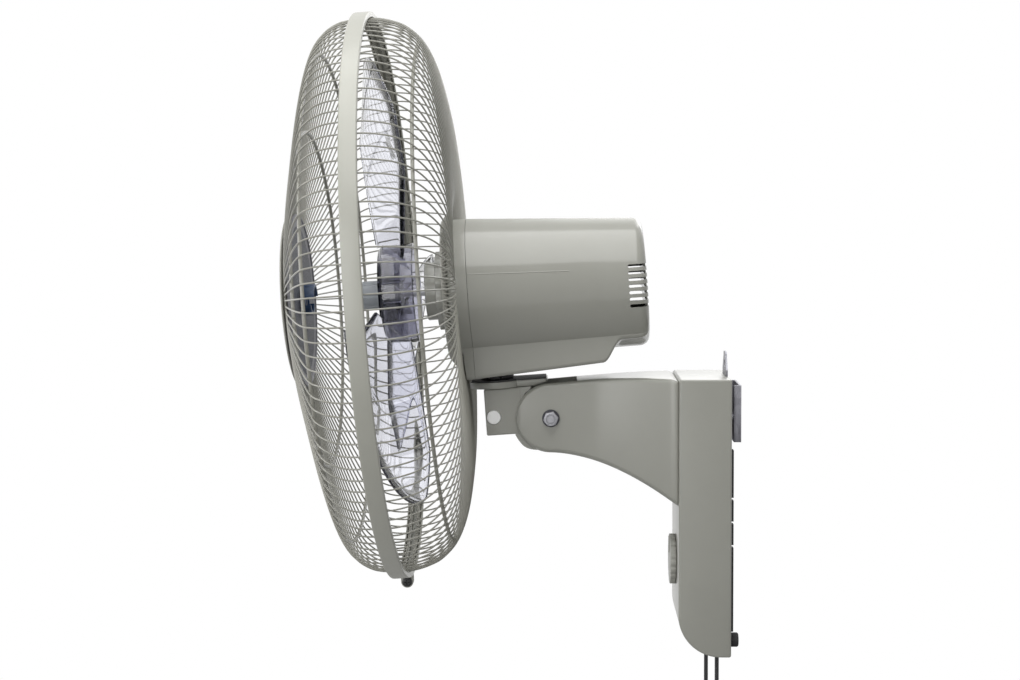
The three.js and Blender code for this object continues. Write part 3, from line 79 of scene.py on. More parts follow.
POWER_PULL = millimetre_box("power_pull")
SWING_PULL = millimetre_box("swing_pull")
POWER_CORD = millimetre_box("power_cord")
SWING_CORD = millimetre_box("swing_cord")
PIVOT = Vector(joints["head_tilt"]["pos_m"]) / MM
HUB = Vector(joints["rotor_spin"]["pos_m"]) / MM
TILT = math.asin(joints["rotor_spin"]["axis"][2])
WALL = Matrix.Identity(4)
NECK = Matrix.Translation(PIVOT) @ Matrix.Rotation(TILT, 4, "X")
HEAD = Matrix.Translation(HUB) @ Matrix.Rotation(TILT, 4, "X")

# ---------------------------------------------------------------- driving dimensions

GAP = 0.35  # clearance between neighbouring pieces
THREAD_DEPTH = 0.35

# wall box
BOX_WIDTH = 104
BOX_REAR = -11
BOX_FRONT = -61
BOX_TOP = 35
BOX_BOTTOM = BOX_TOP - 264
BOX_WALL = 2.6
BOX_EDGE = 3
BOX_TOE = 40
TAB_PAD = 16
TAB_WIDTH = 40
TAB_TIP = 20
TAB_RISE = 23
PLATE_REAR = BOX_REAR - 1.4
PLATE_SHEET = 1.6
BRACKET_WIDTH = 54
BRACKET_DEPTH = 7.2
BRACKET_HEIGHT = 54.6
BRACKET_SHEET = 2
FOOT_INSET = 14.2

# arm
ARM_HALF = 27
ARM_WALL = 3.4
ARM_NOSE = 33.5
ARM_EDGE = 5
ARM_DROP = 48
ARM_REACH = 121
ARM_FLARE = 79
ARM_END = 9
ARM_END_INSET = 4
CREST_END = 22

# neck
NECK_HALF = 22
NECK_FRONT = 62.6
NECK_BACK = 27
NECK_BOTTOM = -13.5
TONGUE = 24
TONGUE_LOBE = 38
SWIVEL_AHEAD = 49.5
SPINDLE_RADIUS = 8
PLATE_BOTTOM = 31.5
PLATE_TOP = PLATE_BOTTOM + 6
PLATE_RADIUS = 27
PIN_RADIUS = 6.6
PIN_PLACE = (-NECK_FRONT + PIN_RADIUS + 1.4, NECK_BOTTOM + 17.5)
COLLAR_RADIUS = 16
TILT_BOLT = 4
TILT_WASHER = 1.4
AXIS_HEIGHT = 128  # of the fan axis above the tilt bolt
SWIVEL_ALONG = 151 - SWIVEL_AHEAD  # of the spindle behind the plane of the rim

# motor covers, from the plane of the rim along the fan axis
COVER_FRONT = 63
COVER_SPLIT = 82
COVER_REAR = 251
COVER_RADIUS = 67.7
COVER_REAR_RADIUS = 61.7
COVER_DROP = 4.5
COVER_EDGE = 9
COVER_WALL = 2.6
RIDGE_ANGLE = math.radians(76)
RIDGE_END = COVER_SPLIT + 96
RIDGE_WIRE = 0.6
RIDGE_SUNK = 0.25
BELLY_HALF = 40
BELLY_FRONT = 74
BELLY_DEPTH = 85
BELLY_RISE = 10.5
BELLY_END = 205
BELLY_RAMP = 19
BELLY_STEP = 1.5
BELLY_SHUT = 0.9  # share of the radius that the belly is drawn in to beyond its ends
BELLY_EDGE = 4
NOSE_RADIUS = 28
NOSE_LENGTH = 24
VENT_COUNT = 7
VENT_PITCH = 6.25
VENT_HEIGHT = 3
VENT_TOP = 14.9
VENT_LENGTH = 18
VENT_MIDDLE = 56

# cage
GUARD_WIRES = 128
WIRE = 0.76
RING_WIRE = 1.7
RIM_WIRE = 2
RIM_RADIUS = 268.5
RIM_OFFSET = 3.7
BAND_RADIUS = 272.5
BAND_HALF = 8
BAND_SHEET = 1.6
BAND_LIP = 5.6
BAND_CROWN = 0.35
BAND_SPLIT = 5
LUG = 14
LUG_SHEET = BAND_SHEET * 1.5
CLAMP_SEAT = BAND_SPLIT / 2 + LUG_SHEET + GAP
CLAMP_HEIGHT = -(BAND_RADIUS + LUG * 0.55)
FRONT_GUARD = [
    (265.3, -2.4), (265.1, -13), (262.6, -24.5), (255.6, -36), (242, -46.5),
    (211, -57), (161, -69.5), (120, -79), (79, -86.5),
]
REAR_GUARD = [
    (265.3, 2.4), (265.1, 13), (262, 26), (255.6, 39.5), (241, 53.5),
    (216, 64), (177, 71.8), (150, 73.8), (130, 74), (98, 73), (82, 70),
]
REAR_FOLD = [(79.6, 68.6), (68, 60)]
FRONT_RINGS = (236, 163)
REAR_RING = 241
FRONT_HUB = 78
REAR_HUB = 66
GUARD_PLATE = 2.4

# badge
BADGE_RADIUS = 84
BADGE_FACE = -88.4
BACKING_FACE = BADGE_FACE + 4.45
BACKING_FLAT = BADGE_RADIUS - 12
BACKING_SHEET = 1.8
CLIP_RADIUS = 15
CLIP_LENGTH = 13

# propeller
BLADES = 3
BLADE_RADIUS = 229
BLADE_SHEET = 2.6
BLADE_BEAD = 1.1
BLADE_START = math.radians(15)
BLADE_SWEEP = math.radians(10)
BLADE_ROOT_ANGLE = 27
BLADE_WIDE_ANGLE = 33
BLADE_ROOT_DEPTH = 14
BLADE_FULL_DEPTH = 30
BLADE_MIDDLE = 7
BLADE_HOLLOW = 7
HUB_RADIUS = 48
HUB_FRONT = -4
HUB_REAR = 30
SPINNER_RADIUS = 14
SPINNER_FRONT = -30
SPINNER_REAR = 13

# controls
KNOB_RADIUS = 24.2
KNOB_HEIGHT = -144.5
KNOB_FACE = BOX_FRONT - 6.8
CORD = 2
GUIDE_FLANGE = 1.5

# ---------------------------------------------------------------- camera, floor and light

IMAGE_WIDTH = 1020
FOCAL_LENGTH = 1792  # in pixels
LENS_SHIFT = (-0.03, -0.07)  # shares of the picture's width
EYE = Vector((1735.4, -168, 201.9))
AIM = Vector((0, -192.2, 137.8))
FLOOR_HEIGHT = -900
FLOOR_HALF = 2000
FLOOR_GREY = (0.5, 0.5, 0.5, 1)
FLOOR_GLOW = 1.2
FLOOR_GLOW_SHARE = 0.8
AMBIENT = 0.33
WHITE = (1, 1, 1, 1)


def look(thing, eye, aim):
    thing.location = eye * MM
    thing.rotation_euler = (aim - eye).to_track_quat("-Z", "Y").to_euler()
    bpy.context.scene.collection.objects.link(thing)


def camera():
    data = bpy.data.cameras.new("camera")
    data.sensor_width = 36
    data.lens = data.sensor_width * FOCAL_LENGTH / IMAGE_WIDTH
    data.shift_x, data.shift_y = LENS_SHIFT
    data.clip_start = 0.01
    view = bpy.data.objects.new("camera", data)
    look(view, EYE, AIM)
    bpy.context.scene.camera = view


def area_light(name, eye, aim, size, power):
    data = bpy.data.lights.new(name, "AREA")
    data.shape = "RECTANGLE"
    data.size, data.size_y = (side * MM for side in size)
    data.energy = power
    look(bpy.data.objects.new(name, data), Vector(eye), Vector(aim))


def surroundings():
    """White for the rays that show the background, and dimmer for those that light the fan."""
    world = bpy.data.worlds.new("surroundings")
    bpy.context.scene.world = world
    world.use_nodes = True
    graph = Graph(world.node_tree)
    shown = graph.background_rays("Is Glossy Ray", "Is Transmission Ray")
    strength = graph.node("MapRange", values={"Value": shown, "To Min": AMBIENT})
    sky = graph.tree.nodes["Background"]
    graph.put(sky.inputs["Color"], WHITE)
    graph.put(sky.inputs["Strength"], strength)


def floor():
    mesh = bpy.data.meshes.new("floor")
    side, height = FLOOR_HALF * MM, FLOOR_HEIGHT * MM
    corners = [(x * side, y * side, height) for x, y in ((-1, -1), (1, -1), (1, 1), (-1, 1))]
    mesh.from_pydata(corners, [], [(0, 1, 2, 3)])
    ground = bpy.data.objects.new("floor", mesh)
    bpy.context.scene.collection.objects.link(ground)
    material = bpy.data.materials.new("pale_floor")
    material.use_nodes = True
    graph = Graph(material.node_tree)
    graph.tree.nodes.remove(graph.tree.nodes["Principled BSDF"])
    matt = graph.node("BsdfDiffuse", values={"Color": FLOOR_GREY})
    glow = graph.node("Emission", values={"Strength": FLOOR_GLOW})
    share = graph.background_rays("Is Transmission Ray") * FLOOR_GLOW_SHARE
    mix = graph.node("MixShader", values={"Fac": share, 1: matt, 2: glow})
    graph.put(graph.tree.nodes["Material Output"].inputs["Surface"], mix)
    mesh.materials.append(material)


def lighting():
    bpy.context.scene.view_settings.view_transform = "Standard"
    surroundings()
    floor()
    area_light("top_softbox", (600, -300, 1500), (600, -300, 0), (2100, 1300), 26)
    area_light("side_softbox", (1900, -900, 350), (0, -250, 50), (900, 1200), 12.2)
    area_light("front_softbox", (200, -1900, 500), (0, -250, 50), (900, 900), 11)
    area_light("rear_softbox", (-1400, 200, 900), (0, -200, 50), (900, 1100), 6)


# ---------------------------------------------------------------- shaping tools


def lerp(a, b, t):
    return a + (b - a) * t


def clamp(value, low=0.0, high=1.0):
    return min(max(value, low), high)


class Shape:
    """Corner points and the faces between them."""

    def __init__(self, points, faces):
        self.points = np.asarray(points, float).reshape(-1, 3)
        self.faces = [tuple(face) for face in faces]

    def __add__(self, other):
        return together([self, other])

    def moved(self, x=0.0, y=0.0, z=0.0):
        return Shape(self.points + (x, y, z), self.faces)

    def turned(self, angle, axis):
        matrix = np.array(Matrix.Rotation(angle, 3, axis))
        return Shape(self.points @ matrix.T, self.faces)

    def mirrored(self):
        return Shape(self.points * (-1, 1, 1), [face[::-1] for face in self.faces])

    def spun(self, count, axis="Y", start=0.0):
        return together([self.turned(start + 2 * math.pi * k / count, axis) for k in range(count)])

    def mesh(self, name="shape"):
        mesh = bpy.data.meshes.new(name)
        mesh.from_pydata(self.points.tolist(), [], self.faces)
        mesh.validate()
        return mesh

    def bevelled(self, width, steps=3, angle=35):
        """Rounds every edge that turns by more than the angle."""
        form = bmesh.new()
        mesh = self.mesh()
        form.from_mesh(mesh)
        bpy.data.meshes.remove(mesh)
        bmesh.ops.remove_doubles(form, verts=form.verts, dist=1e-3)
        bmesh.ops.recalc_face_normals(form, faces=form.faces)
        turn = math.radians(angle)
        sharp = [e for e in form.edges if len(e.link_faces) == 2 and e.calc_face_angle() > turn]
        bmesh.ops.bevel(form, geom=sharp, offset=width, segments=steps, profile=0.5,
                        affect="EDGES", clamp_overlap=True)
        return from_bmesh(form)

    def minus(self, *tools):
        """Cuts the tools out of the shape."""
        scene = bpy.context.scene.collection.objects
        body = bpy.data.objects.new("body", self.mesh())
        scene.link(body)
        cutters = [bpy.data.objects.new("cutter", tool.mesh()) for tool in tools]
        for cutter in cutters:
            scene.link(cutter)
            modifier = body.modifiers.new("cut", "BOOLEAN")
            modifier.operation = "DIFFERENCE"
            modifier.solver = "EXACT"
            modifier.object = cutter
        bpy.context.view_layer.update()
        done = body.evaluated_get(bpy.context.evaluated_depsgraph_get()).to_mesh()
        result = Shape([v.co[:] for v in done.vertices], [p.vertices[:] for p in done.polygons])
        for thing in [body, *cutters]:
            bpy.data.objects.remove(thing)
        return result


def from_bmesh(form):
    form.verts.index_update()
    shape = Shape([v.co[:] for v in form.verts], [[v.index for v in f.verts] for f in form.faces])
    form.free()
    return shape


def together(shapes):
    points, faces, offset = [], [], 0
    for shape in shapes:
        points.append(shape.points)
        faces += [tuple(i + offset for i in face) for face in shape.faces]
        offset += len(shape.points)
    return Shape(np.vstack(points), faces)


def soft(corners, radius, steps=4, closed=False):
    """The outline with its corners rounded off; an open outline keeps its ends."""
    corners = [Vector(c) for c in corners]
    count = len(corners)
    result = []
    for i, corner in enumerate(corners):
        if not closed and i in (0, count - 1):
            result.append(corner)
            continue
        before, after = corners[i - 1] - corner, corners[(i + 1) % count] - corner
        turn, shorter = before.angle(after), min(before.length, after.length)
        reach = min(radius / max(math.tan(turn / 2), 1e-3), shorter * 0.49)
        start, end = corner + before.normalized() * reach, corner + after.normalized() * reach
        for k in range(steps + 1):
            t = k / steps
            result.append(start * (1 - t) ** 2 + corner * 2 * t * (1 - t) + end * t * t)
    return [tuple(p) for p in result]


def flow(points, steps=6):
    """A smooth line through the points."""
    points = [np.array(p, float) for p in points]
    padded = [2 * points[0] - points[1], *points, 2 * points[-1] - points[-2]]
    line = []
    for a, b, c, d in zip(padded, padded[1:], padded[2:], padded[3:]):
        for k in range(steps):
            t = k / steps
            square, cube = 2 * a - 5 * b + 4 * c - d, 3 * b - a - 3 * c + d
            line.append(0.5 * (2 * b + (c - a) * t + square * t**2 + cube * t**3))
    return line + [points[-1]]


def arc(centre, radius, start, end, steps):
    """Points of an arc in a plane, between two angles in degrees."""
    angles = np.radians(np.linspace(start, end, steps + 1))
    return [(centre[0] + radius * math.cos(a), centre[1] + radius * math.sin(a)) for a in angles]


# two directions across each axis, and the axis
AXES = {"X": (1, 2, 0), "Y": (2, 0, 1), "Z": (0, 1, 2)}


def on_axis(axis, across, up, along):
    point = [0.0, 0.0, 0.0]
    for place, value in zip(AXES[axis], (across, up, along)):
        point[place] = value
    return point


def revolve(profile, axis="Y", steps=96, gap=0.0):
    """Turns (radius, distance) pairs about an axis.

    A gap in degrees leaves the shape open below, with both ends closed.
    """
    turns = steps if gap == 0 else steps + 1
    first = math.pi + math.radians(gap) / 2 if gap else 0.0
    sweep = 2 * math.pi - math.radians(gap)
    closed = np.allclose(profile[0], profile[-1])
    rows = profile[:-1] if closed else profile
    points, rings = [], []
    for radius, along in rows:
        if radius < 1e-6:
            rings.append([len(points)] * turns)
            points.append(on_axis(axis, 0, 0, along))
            continue
        rings.append(list(range(len(points), len(points) + turns)))
        for k in range(turns):
            angle = first + sweep * k / steps
            points.append(on_axis(axis, radius * math.cos(angle), radius * math.sin(angle), along))
    faces = []
    pairs = zip(rings, rings[1:] + rings[:1] if closed else rings[1:])
    for low, high in pairs:
        for k in range(steps):
            n = (k + 1) % turns
            face = list(dict.fromkeys([low[k], low[n], high[n], high[k]]))
            if len(face) > 2:
                faces.append(face)
    if gap:
        faces += [[ring[0] for ring in rings], [ring[-1] for ring in rings][::-1]]
    return outward(Shape(points, faces))


def lathe(profile, radius, steps, axis, sides):
    """Turns a closed profile that has its corners rounded off."""
    rounded = soft(profile, radius, steps, closed=True)
    return revolve(rounded + [rounded[0]], axis, sides)


def outward(shape):
    """The same shape with its faces turned outwards."""
    form = bmesh.new()
    mesh = shape.mesh()
    form.from_mesh(mesh)
    bpy.data.meshes.remove(mesh)
    bmesh.ops.recalc_face_normals(form, faces=form.faces)
    return from_bmesh(form)


def extrude(outline, start, end, axis="X"):
    """Pushes an outline along an axis: (y, z) along x, (z, x) along y or (x, y) along z."""
    count = len(outline)
    points = [on_axis(axis, a, b, height) for height in (start, end) for a, b in outline]
    faces = [[i, (i + 1) % count, count + (i + 1) % count, count + i] for i in range(count)]
    faces += [list(range(count))[::-1], list(range(count, 2 * count))]
    return outward(Shape(points, faces))


def block(x0, x1, y0, y1, z0, z1):
    return extrude([(x0, y0), (x1, y0), (x1, y1), (x0, y1)], z0, z1, "Z")


def rod(radius, start, end, axis="Y", steps=48):
    return revolve([(0, start), (radius, start), (radius, end), (0, end)], axis, steps)


def rounded_box(low, high, radius, steps=5):
    """Corners of a rounded rectangle in a plane."""
    (a0, b0), (a1, b1) = low, high
    points = []
    for cx, cy, start in ((a1 - radius, b1 - radius, 0), (a0 + radius, b1 - radius, 90),
                          (a0 + radius, b0 + radius, 180), (a1 - radius, b0 + radius, 270)):
        points += arc((cx, cy), radius, start, start + 90, steps)
    return points


def round_end(half, end, radius=4):
    """Two rounded corners that close a strip at its end."""
    height = end - radius
    right = arc((half - radius, height), radius, 0, 90, 6)
    return right + arc((radius - half, height), radius, 90, 180, 6)


def skin(sections):
    """Joins closed sections of as many points each, and closes both ends."""
    count = len(sections[0])
    points = [p for section in sections for p in section]
    faces = []
    for s in range(len(sections) - 1):
        for i in range(count):
            a, b = s * count + i, s * count + (i + 1) % count
            faces.append([a, b, b + count, a + count])
    last = len(points) - count
    faces += [list(range(count))[::-1], list(range(last, last + count))]
    return outward(Shape(points, faces))


def wire(route, radius, side, sides=8, closed=False):
    """Round wire along a line that lies in one plane; side is square to that plane."""
    route = np.asarray(route, float)
    ahead = np.roll(route, -1, 0) - np.roll(route, 1, 0)
    if not closed:
        ahead[0], ahead[-1] = route[1] - route[0], route[-1] - route[-2]
    ahead /= np.linalg.norm(ahead, axis=1)[:, None]
    side = np.asarray(side, float)
    up = np.cross(ahead, side)
    angles = 2 * math.pi * np.arange(sides) / sides
    cosines, sines = np.cos(angles)[None, :, None], np.sin(angles)[None, :, None]
    rings = route[:, None] + radius * (cosines * side + sines * up[:, None])
    faces = []
    count = len(route)
    for s in range(count if closed else count - 1):
        for i in range(sides):
            a, b = s * sides + i, s * sides + (i + 1) % sides
            n = ((s + 1) % count - s) * sides
            faces.append([a, b, b + n, a + n])
    if not closed:
        last = (count - 1) * sides
        faces += [list(range(sides))[::-1], list(range(last, last + sides))]
    return Shape(rings.reshape(-1, 3), faces)


def wire_ring(radius, along, thick, steps=160, sides=10):
    angles = 2 * math.pi * np.arange(steps) / steps
    route = [(radius * math.sin(a), along, radius * math.cos(a)) for a in angles]
    return outward(wire(route, thick, (0, 1, 0), sides, closed=True))


# ---------------------------------------------------------------- finishes


class Socket:
    """An output of a shader node. Arithmetic on it adds Math nodes."""

    def __init__(self, graph, output):
        self.graph = graph
        self.output = output

    def maths(self, operation, *values):
        return self.graph.node("Math", {"operation": operation}, dict(enumerate(values)))

    def __add__(self, other):
        return self.maths("ADD", self, other)

    def __sub__(self, other):
        return self.maths("SUBTRACT", self, other)

    def __rsub__(self, other):
        return self.maths("SUBTRACT", other, self)

    def __mul__(self, other):
        return self.maths("MULTIPLY", self, other)

    __radd__ = __add__
    __rmul__ = __mul__

    def larger(self, other):
        return self.maths("MAXIMUM", self, other)

    def sine(self):
        return self.maths("SINE", self)

    def above(self, level, blur):
        """0 below the level and 1 above it, with a soft step."""
        settings = {"interpolation_type": "SMOOTHSTEP"}
        values = {"Value": self, "From Min": level - blur, "From Max": level + blur}
        return self.graph.node("MapRange", settings, values)


class Graph:
    """The shader nodes of a material or of the world."""

    def __init__(self, tree):
        self.tree = tree

    def node(self, kind, settings=None, values=None, output=0):
        """Adds a node and gives one of its outputs."""
        node = self.tree.nodes.new("ShaderNode" + kind)
        for name, value in (settings or {}).items():
            setattr(node, name, value)
        for name, value in (values or {}).items():
            self.put(node.inputs[name], value)
        return Socket(self, node.outputs[output])

    def put(self, socket, value):
        if isinstance(value, Socket):
            self.tree.links.new(value.output, socket)
        else:
            socket.default_value = value

    def background_rays(self, *kinds):
        """1 for the rays of the camera and of the kinds that are named, and 0 for others."""
        total = self.node("LightPath", output="Is Camera Ray")
        for kind in kinds:
            total = total.larger(self.node("LightPath", output=kind))
        return total

    def noise(self, scale, detail, roughness):
        place = self.node("TexCoord", output="Object")
        values = {"Vector": place, "Scale": scale, "Detail": detail, "Roughness": roughness}
        return self.node("TexNoise", values=values, output="Fac")

    def blend(self, factor, first, second):
        """Mix of two colours."""
        return self.node("Mix", {"data_type": "RGBA"}, {"Factor": factor, 6: first, 7: second}, 2)


class Finish(Graph):
    """A material of one piece or more, and the slot of the record that it belongs to."""

    def __init__(self, name, slot, **sockets):
        self.slot = slot
        self.material = bpy.data.materials.new(name)
        self.material.use_nodes = True
        super().__init__(self.material.node_tree)
        self.shader = self.tree.nodes["Principled BSDF"]
        self.set(**sockets)

    def set(self, **sockets):
        for name, value in sockets.items():
            title = name.replace("_", " ").title().replace("Ior", "IOR")
            self.put(self.shader.inputs[title], value)

    def bump(self, height, distance, strength=1.0):
        values = {"Height": height, "Distance": distance * MM, "Strength": strength}
        self.set(normal=self.node("Bump", values=values, output="Normal"))


def srgb(red, green, blue):
    """The linear values of a colour that is given as a screen shows it, from 0 to 255."""
    channels = (value / 255 for value in (red, green, blue))
    linear = (c / 12.92 if c < 0.04045 else ((c + 0.055) / 1.055) ** 2.4 for c in channels)
    return (*linear, 1.0)


def moulded(name, slot, colour, shade, roughness, grain=0.02, coat=0.0, specular=0.5,
            coat_roughness=0.2):
    """Moulded plastic with a fine spark-eroded grain and a faint cloudiness."""
    finish = Finish(name, slot, coat_weight=coat, coat_roughness=coat_roughness,
                    specular_ior_level=specular)
    cloud = finish.noise(14, 4, 0.6)
    fine = finish.noise(1400, 2, 0.5)
    finish.set(base_color=finish.blend(cloud.above(0.5, 0.25), colour, shade))
    finish.set(roughness=cloud * 0.1 + (roughness - 0.05))
    finish.bump(fine, grain)
    return finish


def dusty_top(finish):
    """Dulls the gloss where the surface faces up and dust settles."""
    normal = finish.node("TexCoord", output="Normal")
    upward = finish.node("SeparateXYZ", values={"Vector": normal}, output="Z")
    finish.set(coat_weight=(1 - upward.above(0.87, 0.09)) * 0.8)


def painted(name, slot, colour, shade, roughness):
    """Baked powder paint with a slight orange peel."""
    finish = Finish(name, slot, coat_weight=0.12, coat_roughness=0.2)
    cloud = finish.noise(30, 3, 0.5)
    peel = finish.noise(420, 2, 0.4)
    finish.set(base_color=finish.blend(cloud.above(0.5, 0.3), colour, shade))
    finish.set(roughness=peel * 0.12 + (roughness - 0.06))
    finish.bump(peel, 0.05)
    return finish


def metal(name, slot, colour, roughness):
    """Bare metal with fine machining or rolling marks."""
    finish = Finish(name, slot, metallic=1.0)
    marks = finish.noise(260, 3, 0.6)
    worn = (*(c * 0.7 for c in colour[:3]), 1.0)
    finish.set(base_color=finish.blend(marks, colour, worn))
    finish.set(roughness=marks * 0.2 + (roughness - 0.1))
    finish.bump(marks, 0.02)
    return finish


def zinc_sheet():
    """Galvanised sheet with its spangle."""
    finish = Finish("zinc_sheet", "zinc_sheet", metallic=0.85)
    place = finish.node("TexCoord", output="Object")
    values = {"Vector": place, "Scale": 160.0}
    spangle = finish.node("TexVoronoi", {"feature": "F1"}, values, output="Color")
    tone = finish.node("RGBToBW", values={"Color": spangle})
    finish.set(base_color=finish.blend(tone, srgb(112, 111, 117), srgb(150, 150, 156)))
    finish.set(roughness=tone * 0.2 + 0.3)
    return finish


def clear_plastic(name, tint, roughness=0.0):
    """Clear injection-moulded plastic with a lavender tint and flow marks."""
    finish = Finish(name, "clear_plastic", transmission_weight=1.0, ior=1.5, base_color=tint)
    ripple = finish.noise(24, 2, 0.4)
    finish.set(roughness=ripple * 0.02 + roughness)
    finish.bump(ripple, 0.3, 0.08)
    return finish


def speckled_backing():
    """Dark grey plastic with fine light specks."""
    finish = Finish("speckled_backing", "dark_plastic", roughness=0.55)
    specks = finish.noise(900, 2, 0.7)
    grey, fleck = srgb(66, 68, 74), srgb(128, 128, 138)
    finish.set(base_color=finish.blend(specks.above(0.6, 0.06), grey, fleck))
    finish.bump(specks, 0.05)
    return finish


def rubber():
    finish = Finish("black_rubber", "black_rubber")
    grain = finish.noise(700, 3, 0.6)
    finish.set(base_color=finish.blend(grain, srgb(20, 20, 21), srgb(34, 34, 35)))
    finish.set(roughness=grain * 0.15 + 0.7)
    finish.bump(grain, 0.05)
    return finish


def braided_cord():
    """Black braid, woven round the cord in two directions, with painted shade in the furrows of the
    weave.
    """
    finish = Finish("braided_cord", "cord_black", roughness=0.75, sheen_weight=0.3)
    place = finish.node("TexCoord", output="Object")
    x, y, z = (finish.node("SeparateXYZ", values={"Vector": place}, output=axis) for axis in "XYZ")
    strands = 3000.0  # radians for each metre
    leaning_left, leaning_right = (((x + y + z * way) * strands).sine() for way in (1, -1))
    weave = leaning_left.larger(leaning_right)
    # the furrow colour is painted shade, darker where the weave dips
    furrow_painted_shade, ridge = srgb(16, 16, 17), srgb(44, 44, 46)
    finish.set(base_color=finish.blend(weave.above(0.3, 0.5), furrow_painted_shade, ridge))
    finish.bump(weave, 0.25)
    return finish


def wound_copper():
    """Enamelled winding wire, laid side by side, with painted shade between the turns and a painted
    highlight along each turn.
    """
    finish = Finish("wound_copper", "copper_winding", metallic=0.8)
    place = finish.node("TexCoord", output="Object")
    values = {"Vector": place, "Scale": 250.0, "Distortion": 2.0}
    turns = finish.node("TexWave", {"bands_direction": "Z"}, values, output="Fac")
    # the darker colour between turns is painted shade and the lighter one along each turn a painted
    # highlight
    finish.set(base_color=finish.blend(turns, srgb(88, 42, 22), srgb(168, 94, 52)))
    finish.set(roughness=turns * 0.2 + 0.3)
    finish.bump(turns, 0.3)
    return finish


GREIGE = srgb(149, 149, 141)
GREIGE_SHADE = srgb(145, 145, 137)
# The arm and box greige is a slightly darker copy of the cover greige: painted shade that holds the
# arm's sides down where the side lamp lights them more strongly.
ARM_GREIGE_PAINTED_SHADE = srgb(147, 147, 139)
ARM_GREIGE_CLOUD_PAINTED_SHADE = srgb(143, 143, 135)
KNOB_GREY = srgb(158, 158, 151)
KNOB_SHADE = srgb(154, 154, 147)
WIRE_GREY = srgb(146, 145, 136)
WIRE_SHADE = srgb(140, 139, 130)
BAND_GREY = srgb(167, 167, 158)
BAND_SHADE = srgb(163, 163, 154)
# The charcoal plastic is given a mid grey far lighter than its own colour: painted light that makes
# up for the shade the spinner sits in inside the hub.
CHARCOAL_PAINTED_LIGHT = srgb(150, 155, 160)
CHARCOAL_CLOUD_PAINTED_LIGHT = srgb(140, 145, 150)
BLACK = srgb(28, 28, 29)
BLACK_SHADE = srgb(24, 24, 25)
NYLON = srgb(250, 250, 248)
NYLON_SHADE = srgb(245, 245, 243)
CLIP_BLUE = srgb(34, 62, 96)
CLIP_SHADE = srgb(30, 55, 86)
RIM_GREY = srgb(118, 118, 122)
RIM_SHADE = srgb(110, 110, 114)


class Finishes:
    """Every finish of the fan."""

    def __init__(self):
        self.cover = moulded("cover_plastic", "grey_plastic", GREIGE, GREIGE_SHADE, 0.4,
                             grain=0.01, coat=0.8, specular=0.2, coat_roughness=0.12)
        dusty_top(self.cover)
        # same grey plastic as the cover, with the arm's colour darkened as painted shade
        self.arm = moulded("arm_plastic_painted_shade", "grey_plastic", ARM_GREIGE_PAINTED_SHADE, ARM_GREIGE_CLOUD_PAINTED_SHADE, 0.36,
                           grain=0.012, coat=0.7, specular=0.3, coat_roughness=0.34)
        self.knob = moulded("knob_plastic", "grey_plastic", KNOB_GREY, KNOB_SHADE, 0.4)
        self.wire = painted("wire_paint", "wire_paint", WIRE_GREY, WIRE_SHADE, 0.34)
        self.band = painted("band_paint", "band_paint", BAND_GREY, BAND_SHADE, 0.38)
        # charcoal plastic lightened well beyond its own colour as painted light
        self.dark = moulded("charcoal_plastic_painted_light", "dark_plastic", CHARCOAL_PAINTED_LIGHT, CHARCOAL_CLOUD_PAINTED_LIGHT, 0.36)
        self.black = moulded("black_plastic", "black_plastic", BLACK, BLACK_SHADE, 0.5)
        self.white = moulded("white_nylon", "white_plastic", NYLON, NYLON_SHADE, 0.4)
        self.blue = moulded("blue_clip", "blue_plastic", CLIP_BLUE, CLIP_SHADE, 0.4)
        self.rim = moulded("backing_rim", "dark_plastic", RIM_GREY, RIM_SHADE, 0.4)
        self.steel = metal("bright_steel", "steel", srgb(196, 196, 198), 0.32)
        self.dull_steel = metal("dull_steel", "steel", srgb(150, 150, 154), 0.45)
        self.black_steel = metal("black_oxide_steel", "steel", srgb(70, 70, 74), 0.45)
        self.zinc = zinc_sheet()
        self.blade = clear_plastic("blade_plastic", srgb(238, 239, 248))
        self.hub = clear_plastic("hub_plastic", srgb(184, 184, 194), 0.02)
        # the beads get a darker tint than the blades: painted shade for the dark look that
        # refraction gives the blades' edges
        self.edge = clear_plastic("edge_plastic_painted_shade", srgb(104, 105, 116))
        self.backing = speckled_backing()
        self.rubber = rubber()
        self.cord = braided_cord()
        self.copper = wound_copper()


def piece(name, shape, body, finish, place=WALL, stands_for=(), sharp=32):
    """Makes a piece in its place, smooth but for its sharp edges, and hands it to its body."""
    mesh = shape.mesh(name)
    mesh.transform(Matrix.Scale(MM, 4) @ place)
    mesh.shade_smooth()
    mesh.set_sharp_from_angle(angle=math.radians(sharp))
    mesh.materials.append(finish.material)
    thing = bpy.data.objects.new(name, mesh)
    bpy.context.scene.collection.objects.link(thing)
    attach(thing, body)
    if stands_for:
        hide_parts(*stands_for)
    return thing


# ---------------------------------------------------------------- pull cords


def pull_knob(low, high):
    """Small bell with a rounded foot, threaded on the cord."""
    top, bottom, r = high.z, low.z, (high.x - low.x) / 2
    profile = [(0, top), (r * 0.45, top), (r * 0.62, top - 5), (r * 0.95, bottom + 7),
               (r, bottom + 3), (r * 0.8, bottom), (0, bottom)]
    return revolve(soft(profile, 2.5, 5), "Z", 40).moved((low.x + high.x) / 2, (low.y + high.y) / 2)


def cord_guide(x, y):
    """Collar in the floor of the box that the cord runs through."""
    bore, barrel, flange = CORD + 0.4, 3.6, 5
    bottom, seat, top = BOX_BOTTOM - GUIDE_FLANGE, BOX_BOTTOM - GAP, BOX_BOTTOM + 5
    profile = [(bore, bottom), (flange, bottom), (flange, seat), (barrel, seat),
               (barrel, top), (bore, top)]
    return lathe(profile, 0.5, 3, "Z", 40).moved(x, y)


